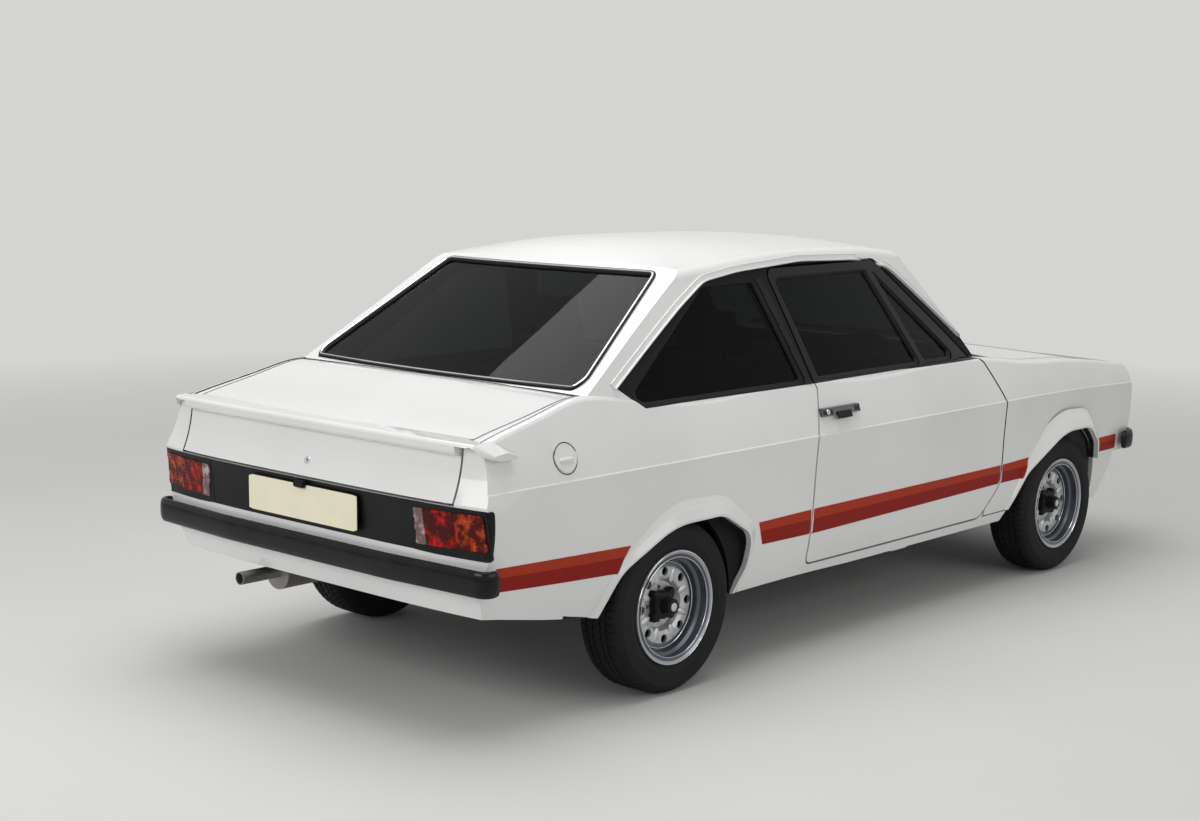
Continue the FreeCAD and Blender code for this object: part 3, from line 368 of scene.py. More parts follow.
@dataclass(frozen=True)
class ArchPaint:
    """Body paint that turns black in the wheel arches, in the cabin and round the side windows."""

    name: str
    colour: Colour
    dark: Colour = (0.012, 0.012, 0.013)
    dark_roughness: float = 0.85
    axles: Point = (REAR_AXLE, FRONT_AXLE)
    reach: float = 0.47
    top: float = 0.63
    lip_y: float = 0.788
    lip_lean: float = 0.19
    lip_top: float = 0.548
    lip_depth: float = 0.02
    rear_mouth: float = 0.7212
    front_mouth: float = 0.61
    lip_facing: float = 0.35
    inner_facing: float = -0.3
    trim_facing: float = -0.05
    trim_foot: float = 0.62
    frame_facing: float = 0.6
    frame_front: float = 0.6
    tail: Point = (0.095, -0.679)
    eaves: Line = (
        (1.4905, -0.7017), (1.3315, -0.185), (1.316, -0.0296), (1.3397, 0.0578), (1.3883, 0.1366),
        (1.7054, 0.533), (1.7671, 0.598))

    def frames(self, made: Shader, spot: Sockets) -> Socket:
        """Finds the surround of the side windows, above the belt and below each line of the rain rail.

        A line is given by its height at the middle of the car's length and its slope.

        Args:
            made: the shader under way.
            spot: the place on the surface, by axis.

        Returns:
            1 in the surround and 0 outside.
        """
        top = 9.0
        for height, lean in self.eaves:
            line = made.maths("ADD", made.maths("MULTIPLY", spot["X"], lean), height)
            top = made.maths("MINIMUM", line, top)
        foot = made.maths("ADD", made.maths("MULTIPLY", spot["X"], self.tail[1]), self.tail[0])
        foot = made.maths("MAXIMUM", foot, BELT)
        return made.maths("MULTIPLY", made.maths("LESS_THAN", spot["Z"], top),
                          made.maths("GREATER_THAN", spot["Z"], foot))

    def build(self) -> Material:
        """Makes the material, with the rolled lip of each arch left in body paint.

        Returns:
            The material.
        """
        made = Shader(self.name)
        facing = made.axes(made.node("NewGeometry").outputs["Normal"])
        spot = made.axes(made.place())
        across = made.maths("ABSOLUTE", spot["Y"])
        outward = made.maths("MULTIPLY", facing["Y"], made.maths("SIGN", spot["Y"]))
        nearest = made.maths("MINIMUM", *[made.maths("ABSOLUTE", made.maths("SUBTRACT", spot["X"], x))
                                          for x in self.axles])
        near = made.maths("LESS_THAN", nearest, self.reach)
        low = made.maths("LESS_THAN", spot["Z"], self.top)
        turned_in = made.maths("LESS_THAN", outward, self.lip_facing)
        rise = made.maths("MULTIPLY", made.maths("SUBTRACT", self.lip_top, spot["Z"]), self.lip_lean)
        lip = made.maths("SUBTRACT", self.lip_y - self.lip_depth, rise)
        behind = made.maths("LESS_THAN", across, lip)
        rear = made.maths("LESS_THAN", spot["X"], 0.0)
        mouth = made.maths("ADD", made.maths("MULTIPLY", rear, self.rear_mouth - self.front_mouth),
                           self.front_mouth)
        inside = made.maths("MAXIMUM", made.maths("MULTIPLY", turned_in, behind),
                            made.maths("LESS_THAN", across, mouth))
        inside = made.maths("MAXIMUM", inside, made.maths("LESS_THAN", outward, self.inner_facing))
        arch = made.maths("MULTIPLY", made.maths("MULTIPLY", near, low), inside)
        cabin = made.maths("MULTIPLY", made.maths("LESS_THAN", outward, self.trim_facing),
                           made.maths("GREATER_THAN", spot["Z"], self.trim_foot))
        sideways = made.maths("MAXIMUM", made.maths("GREATER_THAN", outward, self.frame_facing),
                              made.maths("LESS_THAN", spot["X"], self.frame_front))
        frames = made.maths("MULTIPLY", self.frames(made, spot), sideways)
        share = made.maths("MAXIMUM", made.maths("MAXIMUM", arch, cabin), frames)
        made.two_tone(share, self.colour, self.dark, self.dark_roughness)
        return made.material


@dataclass(frozen=True)
class RimPaint:
    """Silver wheel paint, with painted shade on the barrel round the disc and a painted highlight on the
    flange.
    """

    name: str
    axle: float
    height: float = HUB_HEIGHT
    disc: Colour = (0.56, 0.57, 0.58)
    # The barrel's dark colour is painted shade in the hollow of the rim, and the flange's lighter colour is a
    # painted highlight on its edge.
    barrel: Colour = (0.085, 0.097, 0.115)
    flange: Colour = (0.36, 0.38, 0.41)
    disc_radius: float = 0.137
    flange_radius: float = 0.171

    def build(self) -> Material:
        """Makes the material by the distance from the axle.

        Returns:
            The material.
        """
        made = Shader(self.name)
        spot = made.axes(made.place())
        along = made.maths("SUBTRACT", spot["X"], self.axle)
        up = made.maths("SUBTRACT", spot["Z"], self.height)
        squared = made.maths("ADD", made.maths("MULTIPLY", along, along), made.maths("MULTIPLY", up, up))
        radius = made.maths("SQRT", squared)
        # Past the disc the colour turns to the painted shade of the barrel, and past the flange's radius to
        # its painted highlight.
        outside = made.maths("GREATER_THAN", radius, self.disc_radius)
        bright = made.maths("GREATER_THAN", radius, self.flange_radius)
        clouds = made.noise(18, 4.0)
        disc = made.ramp(clouds, [(0.35, tuple(c * 0.9 for c in self.disc)), (0.7, self.disc)])
        colour = made.blend(outside, disc, self.barrel)
        made.link(made.blend(bright, colour, self.flange), "Base Color")
        rough = made.node("MapRange", Value=outside, To_Min=0.42, To_Max=0.28)
        made.link(rough.outputs[0], "Roughness")
        made.set(Metallic=0.55, Coat_Weight=0.4, Coat_Roughness=0.12)
        made.bump(made.noise(1400, 1.0), 0.00005, 0.4)
        return made.material


@dataclass(frozen=True)
class Lens:
    """A coloured moulded lens over its reflector, with a pattern of small facets and painted highlights where
    the reflector catches the light.
    """

    name: str
    # deep is the lens's own colour, and bright is the colour of its painted highlights.
    deep: Colour
    bright: Colour
    cells: float = 95.0
    patches: float = 34.0
    sparkle: float = 0.22
    start: float = 0.58
    full: float = 0.88

    def build(self) -> Material:
        """Makes the material.

        Returns:
            The material.
        """
        made = Shader(self.name)
        # Bright noise patches and brighter single facets are a painted highlight over the lens's own deep
        # colour.
        cells = made.node("TexVoronoi", Vector=made.place(), Scale=self.cells)
        facet_glint = made.maths("MULTIPLY", cells.outputs["Color"], self.sparkle)
        glow = made.maths("ADD", made.noise(self.patches, 1.0), facet_glint)
        made.link(made.ramp(glow, [(self.start, self.deep), (self.full, self.bright)]), "Base Color")
        made.set(Roughness=0.2, Coat_Weight=0.1, Coat_Roughness=COAT_ROUGHNESS, Specular_IOR_Level=0.12)
        made.bump(cells.outputs["Distance"], 0.0004, 0.6)
        return made.material


@dataclass(frozen=True)
class Grained:
    """A moulded, pressed, cast or rubber surface with a fine grain and slight wear."""

    name: str
    colour: Colour
    roughness: float
    grain: float = 700.0
    depth: float = 0.0001
    wear: float = 0.25
    metallic: float = 0.0
    coat: float = 0.0
    stretch: tuple[float, float, float] = (1.0, 1.0, 1.0)
    shine: float = 0.5

    def build(self) -> Material:
        """Makes the material.

        Returns:
            The material.
        """
        made = Shader(self.name)
        made.set(Metallic=self.metallic, Coat_Weight=self.coat, Coat_Roughness=0.1,
                 Specular_IOR_Level=self.shine)
        pale = tuple(min(1.0, channel * (1 + self.wear) + 0.004) for channel in self.colour)
        clouds = made.noise(14, 5.0)
        made.link(made.ramp(clouds, [(0.4, self.colour), (0.72, pale)]), "Base Color")
        low = max(0.02, self.roughness - 0.08)
        high = min(1.0, self.roughness + 0.08)
        rough = made.node("MapRange", Value=clouds, From_Min=0.3, From_Max=0.7, To_Min=low, To_Max=high)
        made.link(rough.outputs[0], "Roughness")
        made.bump(made.noise(self.grain, 2.0, self.stretch), self.depth, 0.6)
        return made.material


@dataclass(frozen=True)
class Glass:
    """Clear or tinted glass or a moulded lens."""

    name: str
    colour: Colour
    roughness: float = 0.02
    ribs: float = 0.0
    depth: float = 0.0006
    bend: float = 1.47
    film: float = 0.03

    def build(self) -> Material:
        """Makes the material, with a faint film of dust in its roughness.

        Returns:
            The material.
        """
        made = Shader(self.name)
        made.set(Base_Color=(*self.colour, 1), Transmission_Weight=1.0, IOR=self.bend)
        film = made.node("MapRange", Value=made.noise(7, 4.0), From_Min=0.3, From_Max=0.7,
                         To_Min=self.roughness, To_Max=self.roughness + self.film)
        made.link(film.outputs[0], "Roughness")
        if self.ribs:
            wave = made.node("TexWave", Vector=made.place(), Scale=self.ribs, bands_direction="Z")
            made.bump(wave.outputs["Fac"], self.depth, 0.8)
        return made.material


@dataclass(frozen=True)
class Woven:
    """Woven cloth with a visible over and under of the thread."""

    name: str
    colour: Colour
    pitch: float = 0.0022

    def build(self) -> Material:
        """Makes the material.

        Returns:
            The material.
        """
        made = Shader(self.name)
        made.set(Roughness=0.92, Sheen_Weight=0.35, Sheen_Roughness=0.5)
        scale = 1 / self.pitch / 6.28
        first, second, third = (made.node("TexWave", Vector=made.place(), Scale=scale,
                                          bands_direction=way).outputs["Fac"] for way in "XZY")
        weave = made.maths("MAXIMUM", made.maths("MULTIPLY", first, second),
                           made.maths("MULTIPLY", first, third))
        light = tuple(channel * 1.8 + 0.01 for channel in self.colour)
        made.link(made.ramp(weave, [(0.2, self.colour), (0.9, light)]), "Base Color")
        made.bump(weave, 0.0004, 0.7)
        return made.material


WHITE: Colour = (0.76, 0.76, 0.75)

FINISHES = {
    "paint": Paint("body_white", WHITE),
    "arch_paint": ArchPaint("body_white_and_arches", WHITE),
    "door_paint": TwoPaint("door_white_and_black", WHITE, (0.01, 0.01, 0.011), 0.38, BELT),
    "roof_paint": TwoPaint("roof_white", WHITE, (0.3, 0.29, 0.27), 0.85),
    "floor": TwoPaint("carpet_and_underseal", (0.018, 0.018, 0.02), (0.02, 0.02, 0.021), 0.9),
    "inner": Grained("underseal", (0.02, 0.02, 0.021), 0.8, 240, 0.0004),
    "chassis": Grained("chassis_black", (0.022, 0.022, 0.024), 0.6, 300, 0.0003),
    "satin_black": Grained("satin_black", (0.006, 0.006, 0.007), 0.36, 900, 0.00005, wear=0.1, shine=0.18),
    "gloss_black": Grained("gloss_black", (0.005, 0.005, 0.007), 0.16, 40, 0.00008, wear=0.1, shine=0.24),
    "matt_black": Grained("matt_black", (0.007, 0.007, 0.008), 0.62, 900, 0.0001, shine=0.2),
    "rubber": Grained("window_rubber", (0.007, 0.007, 0.007), 0.5, 500, 0.0001, shine=0.2),
    "tyre": Grained("tyre_rubber", (0.008, 0.008, 0.0085), 0.7, 350, 0.0002, wear=0.5, shine=0.2),
    "bright": Grained("polished_bright", (0.72, 0.73, 0.75), 0.1, 60, 0.00004, wear=0.03, metallic=1.0),
    "rim_front": RimPaint("wheel_silver_front", FRONT_AXLE),
    "rim_rear": RimPaint("wheel_silver_rear", REAR_AXLE),
    "silver": Grained("wheel_silver", (0.56, 0.57, 0.58), 0.4, 1500, 0.00005, wear=0.06, metallic=0.55,
                      coat=0.4),
    "iron": Grained("cast_iron", (0.13, 0.125, 0.12), 0.7, 260, 0.0005, metallic=0.6),
    "engine": Grained("engine_blue_grey", (0.035, 0.05, 0.075), 0.5, 260, 0.0004, coat=0.2),
    "alloy": Grained("cast_alloy", (0.42, 0.42, 0.41), 0.55, 300, 0.0004, metallic=0.8),
    "steel": Grained("exhaust_steel", (0.28, 0.26, 0.24), 0.5, 200, 0.0002, metallic=0.9),
    "plastic": Grained("grained_black", (0.012, 0.012, 0.013), 0.55, 450, 0.0003, shine=0.3),
    "vinyl": Grained("black_vinyl", (0.014, 0.014, 0.015), 0.48, 380, 0.0003, shine=0.3),
    # The door handles' chrome is given a dark colour: a painted dark reflection.
    "grey_metal": Grained("tarnished_chrome", (0.15, 0.155, 0.165), 0.24, 500, 0.00005, wear=0.2,
                          metallic=1.0),
    "fins": Grained("radiator_black", (0.01, 0.01, 0.011), 0.6, 60, 0.0015, stretch=(1.0, 0.05, 6.0)),
    "case": Grained("battery_case", (0.16, 0.15, 0.13), 0.5, 400, 0.0002),
    "carpet": Grained("carpet", (0.016, 0.016, 0.018), 0.95, 900, 0.0012),
    "tape_upper": Grained("stripe_orange", (0.37, 0.034, 0.012), 0.45, 900, 0.00004, wear=0.06, shine=0.12),
    "tape_lower": Grained("stripe_red", (0.25, 0.009, 0.005), 0.45, 900, 0.00004, wear=0.06, shine=0.12),
    "plate": Grained("plate_cream", (0.8, 0.755, 0.57), 0.45, 900, 0.00004, wear=0.04),
    # The glass is tinted, and its dark colour also stands in as painted shade for the dim cabin seen through
    # it.
    "glass": Glass("tinted_glass", (0.12, 0.132, 0.138), 0.0, bend=1.15, film=0.012),
    "lamp_glass": Glass("lamp_glass", (0.93, 0.94, 0.95), 0.03, ribs=60),
    "red_lens": Lens("red_lens", (0.055, 0.001, 0.001), (0.56, 0.006, 0.004), 170.0),
    "amber_lens": Lens("amber_lens", (0.062, 0.002, 0.001), (0.56, 0.06, 0.01), 170.0),
    "clear_lens": Lens("clear_lens", (0.17, 0.1, 0.1), (0.5, 0.4, 0.4), 110.0),
    "indicator": Lens("indicator_lens", (0.45, 0.11, 0.01), (0.95, 0.33, 0.03), start=0.48, full=0.8),
    "reflector": Grained("lamp_reflector", (0.8, 0.8, 0.82), 0.18, 120, 0.0004, wear=0.05, metallic=1.0),
    "dial": Grained("dial_white", (0.6, 0.6, 0.58), 0.5, 900, 0.00002, wear=0.02),
    "cloth": Woven("seat_cloth", (0.014, 0.014, 0.016)),
}

# The record's material slot that each finish usually belongs to.
SLOTS = {
    finish: slot for slot, finishes in {
        "body_paint": ("paint",), "grille_black": ("satin_black", "matt_black", "rubber", "case"),
        "bumper_black": ("gloss_black",), "bright": ("bright", "reflector", "dial", "steel"),
        "tyre_rubber": ("tyre",), "wheel_silver": ("silver",), "seat_cloth": ("cloth",),
        "dash_plastic": ("vinyl", "plastic"), "chassis_paint": ("chassis", "fins"), "alloy": ("alloy",),
        "front_lens": ("lamp_glass",), "lamp_lens": ("indicator", "red_lens", "amber_lens", "clear_lens"),
    }.items() for finish in finishes
}


class Workshop:
    """Keeps the finishes and the frame, and turns drafts of meshes into pieces on their bodies."""

    def __init__(self, frame: dict) -> None:
        """Builds every finish once.
        """
        self.nodes = frame["nodes"]
        self.finishes = {key: finish.build() for key, finish in FINISHES.items()}
        self.count = 0

    def finish_node(self, node: str, finish: str) -> None:
        """Gives a frame node its material.

        Args:
            node: the node's name.
            finish: the key of its finish.
        """
        data = self.nodes[node].data
        data.materials.clear()
        data.materials.append(self.finishes[finish])

    def piece(self, name: str, draft: "Draft", finish: str, body: str = "root", slot: str | None = None,
              bevel: float = 0.0, sharp: float = 38.0) -> bpy.types.Object:
        """Makes one piece of the scene and sets it riding.

        Args:
            name: the piece's name.
            draft: its mesh.
            finish: the key of its finish.
            body: the frame body that it moves with.
            slot: the record's material slot that it belongs to, where that isn't its finish's usual one; the
                slot is looked up but not given to the piece.
            bevel: the width by which its hard edges are eased.
            sharp: the angle in degrees above which an edge stays crisp.

        Returns:
            The new object.
        """
        slot = SLOTS.get(finish) if slot is None else slot
        mesh = bpy.data.meshes.new(name)
        mesh.from_pydata([tuple(p) for p in draft.vertices], [], draft.faces)
        work = bmesh.new()
        work.from_mesh(mesh)
        bmesh.ops.remove_doubles(work, verts=work.verts, dist=1e-6)
        bmesh.ops.recalc_face_normals(work, faces=work.faces)
        if bevel:
            hard = [e for e in work.edges if len(e.link_faces) == 2 and e.calc_face_angle(0) > 0.6]
            bmesh.ops.bevel(work, geom=hard, offset=bevel, segments=2, affect="EDGES", clamp_overlap=True)
        work.to_mesh(mesh)
        work.free()
        mesh.shade_smooth()
        mesh.set_sharp_from_angle(angle=radians(sharp))
        mesh.materials.append(self.finishes[finish])
        made = bpy.data.objects.new(name, mesh)
        bpy.context.scene.collection.objects.link(made)
        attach(made, body)
        self.count += 1
        log.info("piece %s: %d faces on %s", name, len(mesh.polygons), body)
        return made


@dataclass
class Draft:
    """Vertices and faces of a mesh that is being put together."""

    vertices: list[Vector] = field(default_factory=list)
    faces: list[tuple[int, ...]] = field(default_factory=list)

    def add(self, vertices: Iterable[Vector], faces: Iterable[Sequence[int]]) -> "Draft":
        """Adds loose geometry and returns the draft itself.

        Args:
            vertices: the new points.
            faces: the new faces, numbered from the first new point.

        Returns:
            This draft.
        """
        start = len(self.vertices)
        self.vertices.extend(Vector(v) for v in vertices)
        self.faces.extend(tuple(start + i for i in face) for face in faces)
        return self

    def join(self, other: "Draft") -> "Draft":
        """Adds another draft and returns this one."""
        return self.add(other.vertices, other.faces)

    def moved(self, matrix: Matrix) -> "Draft":
        """A copy carried by a matrix."""
        return Draft([matrix @ v for v in self.vertices], list(self.faces))

    def mirrored(self) -> "Draft":
        """A copy on the other side of the car."""
        return Draft([Vector((v.x, -v.y, v.z)) for v in self.vertices],
                     [tuple(reversed(f)) for f in self.faces])


def loft(rows: Sequence[Sequence[Vector]], ring: bool = True, loop: bool = False, cap: bool = False) -> Draft:
    """Joins rows of points with quads.

    Args:
        rows: rows with the same number of points each.
        ring: whether each row closes on itself.
        loop: whether the last row joins the first.
        cap: whether the first and last rows are filled.

    Returns:
        The mesh.
    """
    width = len(rows[0])
    made = Draft([Vector(p) for row in rows for p in row])
    for index in range(len(rows) if loop else len(rows) - 1):
        here = index * width
        there = (index + 1) % len(rows) * width
        for step in range(width if ring else width - 1):
            after = (step + 1) % width
            made.faces.append((here + step, here + after, there + after, there + step))
    if cap:
        made.faces.append(tuple(reversed(range(width))))
        made.faces.append(tuple((len(rows) - 1) * width + i for i in range(width)))
    return made


def rounded(corners: Sequence[Corner], spacing: float, closed: bool = True) -> list[Point]:
    """Draws an outline with rounded corners.

    Args:
        corners: (u, v, radius) of each corner.
        spacing: how far apart the points are along it.
        closed: whether it comes back to its start.

    Returns:
        Points along the outline.
    """
    dense: list[Vector] = []
    count = len(corners)
    for index, (u, v, radius) in enumerate(corners):
        here = Vector((u, v))
        if not closed and index in (0, count - 1) or radius <= 0:
            dense.append(here)
            continue
        back = Vector(corners[index - 1][:2]) - here
        ahead = Vector(corners[(index + 1) % count][:2]) - here
        half = back.angle(ahead) / 2
        reach = min(radius / tan(half), 0.48 * back.length, 0.48 * ahead.length)
        start = here + back.normalized() * reach
        end = here + ahead.normalized() * reach
        for step in range(9):
            t = step / 8
            dense.append(start * (1 - t) ** 2 + here * 2 * t * (1 - t) + end * t ** 2)
    if closed:
        dense.append(dense[0])
    lengths = [0.0]
    for a, b in zip(dense, dense[1:]):
        lengths.append(lengths[-1] + (b - a).length)
    steps = max(3, round(lengths[-1] / spacing))
    points = []
    at = 0
    for step in range(steps if closed else steps + 1):
        target = lengths[-1] * step / steps
        while at < len(dense) - 2 and lengths[at + 1] < target:
            at += 1
        span = max(lengths[at + 1] - lengths[at], 1e-9)
        share = min(1.0, (target - lengths[at]) / span)
        spot = dense[at].lerp(dense[at + 1], share)
        points.append((spot.x, spot.y))
    return points


def inset(points: Sequence[Point], amount: float) -> list[Point]:
    """Moves a closed outline inwards by an amount, or outwards if it is negative.

    Args:
        points: the outline.
        amount: how far it moves.

    Returns:
        The moved outline.
    """
    count = len(points)
    area = sum(points[i - 1][0] * points[i][1] - points[i][0] * points[i - 1][1] for i in range(count))
    turn = 1 if area > 0 else -1
    moved = []
    for index in range(count):
        before = Vector(points[index - 1])
        after = Vector(points[(index + 1) % count])
        along = (after - before).normalized()
        moved.append((points[index][0] - along.y * amount * turn, points[index][1] + along.x * amount * turn))
    return moved


def within(point: Point, outline: Sequence[Point]) -> bool:
    """Whether a point lies inside a closed outline.

    Args:
        point: the point.
        outline: the outline.

    Returns:
        True inside.
    """
    x, y = point
    inside = False
    for (x0, y0), (x1, y1) in zip(outline, list(outline[1:]) + [outline[0]]):
        if (y0 > y) != (y1 > y) and x < (x1 - x0) * (y - y0) / (y1 - y0) + x0:
            inside = not inside
    return inside


def sweep(path: Sequence[Vector], normals: Sequence[Vector], profile: Sequence[Point], closed: bool,
          taper: Callable[[float], float] | None = None) -> Draft:
    """Runs a profile along a path that lies on a surface.

    Args:
        path: the points it follows.
        normals: the surface's direction at each.
        profile: (sideways, outwards) points of the section, closed.
        closed: whether the path comes back to its start.
        taper: the section's scale by the share of the path, for eased ends.

    Returns:
        The mesh.
    """
    count = len(path)
    centre = sum(path, Vector()) / count
    sides = []
    for index in range(count):
        before = path[index - 1] if closed or index else path[0]
        after = path[(index + 1) % count] if closed or index < count - 1 else path[-1]
        sides.append((after - before).normalized().cross(normals[index]).normalized())
    if closed and sum(s.dot(p - centre) for s, p in zip(sides, path)) < 0:
        sides = [-s for s in sides]
    rows = []
    for index in range(count):
        scale = taper(index / max(1, count - 1)) if taper else 1.0
        rows.append([path[index] + sides[index] * a * scale + normals[index] * b * scale for a, b in profile])
    return loft(rows, loop=closed, cap=not closed)


def smoothed(values: Sequence[Vector], closed: bool, passes: int = 6) -> list[Vector]:
    """Evens out a row of vectors.

    Args:
        values: the row.
        closed: whether its end joins its start.
        passes: how often it is evened.

    Returns:
        The evened row.
    """
    row = [v.copy() for v in values]
    last = len(row) - 1
    for _ in range(passes):
        before = [row[-1] if closed else row[0]] + row[:-1]
        after = row[1:] + [row[0] if closed else row[last]]
        row = [(a + b * 2 + c) / 4 for a, b, c in zip(before, row, after)]
    return row


def circle(count: int) -> list[Point]:
    """The cosine and the sine at every step of a full turn."""
    angles = [2 * pi * step / count for step in range(count)]
    return [(cos(angle), sin(angle)) for angle in angles]


def turned(profile: Sequence[Point], segments: int, centre: Vector, outward: int) -> Draft:
    """Turns a closed profile about a line across the car.

    Args:
        profile: (radius, distance outwards) points.
        segments: the number of steps round.
        centre: the turn's middle.
        outward: the sign of Y on that side of the car.

    Returns:
        The mesh.
    """
    rows = [[centre + Vector((r * c, a * outward, r * s)) for r, a in profile] for c, s in circle(segments)]
    return loft(rows, loop=True)


def block(low: Sequence[float], high: Sequence[float]) -> Draft:
    """A block between two corners, to be eased with a bevel.

    Args:
        low: the corner with the least coordinates.
        high: the corner with the greatest.

    Returns:
        The mesh.
    """
    (a, b, c), (d, e, f) = low, high
    spots = [Vector((x, y, z)) for z in (c, f) for x, y in ((a, b), (d, b), (d, e), (a, e))]
    return Draft(spots, [(3, 2, 1, 0), (4, 5, 6, 7), (0, 1, 5, 4), (1, 2, 6, 5), (2, 3, 7, 6), (3, 0, 4, 7)])


def disc(centre: Vector, axis: Vector, steps: Sequence[Point], segments: int = 48) -> Draft:
    """Turns an open profile about a line, with both ends filled.

    Args:
        centre: the line's start.
        axis: its direction.
        steps: (radius, distance along the line) points.
        segments: the number of steps round.

    Returns:
        The mesh.
    """
    side = axis.orthogonal().normalized()
    other = axis.cross(side)
    rows = [[centre + axis * along + (side * c + other * s) * radius for c, s in circle(segments)]
            for radius, along in steps]
    return loft(rows, cap=True)


def hoop(centre: Vector, axis: Vector, profile: Sequence[Point], segments: int = 64) -> Draft:
    """Turns a closed profile about a line.

    Args:
        centre: the line's start.
        axis: its direction.
        profile: (radius, distance along the line) points.
        segments: the number of steps round.

    Returns:
        The mesh.
    """
    side = axis.orthogonal().normalized()
    other = axis.cross(side)
    rows = [[centre + (side * c + other * s) * radius + axis * along for radius, along in profile]
            for c, s in circle(segments)]
    return loft(rows, loop=True)


def rod(points: Sequence[Sequence[float]], radius: float, bend: float = 0.02, segments: int = 12) -> Draft:
    """A round rod along a path with eased corners.

    Args:
        points: the path's corners.
        radius: the rod's radius.
        bend: how far each corner is eased.
        segments: the number of steps round.

    Returns:
        The mesh.
    """
    spots = [Vector(p) for p in points]
    path = [spots[0]]
    for before, here, after in zip(spots, spots[1:], spots[2:]):
        reach = min(bend, 0.45 * (before - here).length, 0.45 * (after - here).length)
        start = here + (before - here).normalized() * reach
        end = here + (after - here).normalized() * reach
        path += [start * (1 - t) ** 2 + here * 2 * t * (1 - t) + end * t ** 2
                 for t in (0, 0.2, 0.4, 0.6, 0.8, 1)]
    path.append(spots[-1])
    rows = []
    side = (path[1] - path[0]).orthogonal().normalized()
    for index, place in enumerate(path):
        along = (path[min(index + 1, len(path) - 1)] - path[max(index - 1, 0)]).normalized()
        side = (side - along * side.dot(along)).normalized()
        other = along.cross(side)
        rows.append([place + (side * c + other * s) * radius for c, s in circle(segments)])
    return loft(rows, cap=True)


def rounded_end(length: float, reach: float) -> Callable[[float], float]:
    """A scale along a path that closes it with a ball at each end.

    Args:
        length: the path's length.
        reach: the ball's radius.

    Returns:
        The scale by the share of the path.
    """
    def scale(share: float) -> float:
        """The section's scale at one place."""
        near = min(share, 1 - share) * length / reach
        return 1.0 if near >= 1 else max(0.08, sqrt(1 - (1 - near) ** 2))
    return scale


def cushion(half: Corner, edge: float, crown: float, channels: Sequence[float] = (), pull: float = 0.006,
            count: int = 16) -> Draft:
    """A padded block with a crowned top, pulled-in sides, eased edges and sewn channels.

    Args:
        half: half its length, width and thickness.
        edge: how round its edges are.
        crown: how far its top bulges in the middle.
        channels: the places across its width where it is sewn down.
        pull: how far its sides draw in between the corners.
        count: the number of steps on each side of the block.

    Returns:
        The mesh, with its top towards Z.
    """
    sewn, deep = 0.009, 0.007
    even = [sin(pi * (i / count - 0.5)) for i in range(count + 1)]
    extra = [(c + d) / half[1] for c in channels for d in (-sewn, -sewn / 3, 0, sewn / 3, sewn)]
    widths = sorted(set(round(v, 5) for v in even + extra if abs(v) <= 1))
    thick = [sin(pi * (i / 10 - 0.5)) for i in range(11)]

    def place(a: float, b: float, c: float) -> Vector:
        """One point of the pad.

        Args:
            a: its share of half the length.
            b: its share of half the width.
            c: its share of half the thickness.

        Returns:
            The point.
        """
        at = Vector((a * half[0], b * half[1], c * half[2]))
        core = Vector([max(-(h - edge), min(h - edge, v)) for v, h in zip(at, half)])
        spot = core + (at - core).normalized() * edge
        top = max(0.0, spot.z / half[2])
        fullness = (1 - a * a) * (1 - b * b)
        dip = sum(exp(-((spot.y - c) / (sewn / 2)) ** 2) for c in channels)
        dip = dip * deep * min(1.0, 3 * (1 - a * a))
        spot.z += top * (crown * fullness - dip)
        spot.x -= copysign(pull, spot.x) * abs(a) ** 4 * (1 - b * b)
        spot.y -= copysign(pull, spot.y) * abs(b) ** 4 * (1 - a * a)
        return spot

    made = Draft()
    for c in (-1, 1):
        made.join(loft([[place(a, b, c) for b in widths] for a in even], ring=False))
    for b in (-1, 1):
        made.join(loft([[place(a, b, c) for c in thick] for a in even], ring=False))
    for a in (-1, 1):
        made.join(loft([[place(a, b, c) for c in thick] for b in widths], ring=False))
    return made


def standing(origin: Sequence[float], lean: float) -> Matrix:
    """Stands a cushion up: its length upwards, its top to the front, leaning back by an angle.

    Args:
        origin: where its middle stands.
        lean: the angle.

    Returns:
        The matrix that places it.
    """
    up = Vector((-sin(lean), 0, cos(lean)))
    fore = Vector((cos(lean), 0, sin(lean)))
    turn = Matrix((up, Vector((0, -1, 0)), fore)).transposed().to_4x4()
    return Matrix.Translation(origin) @ turn


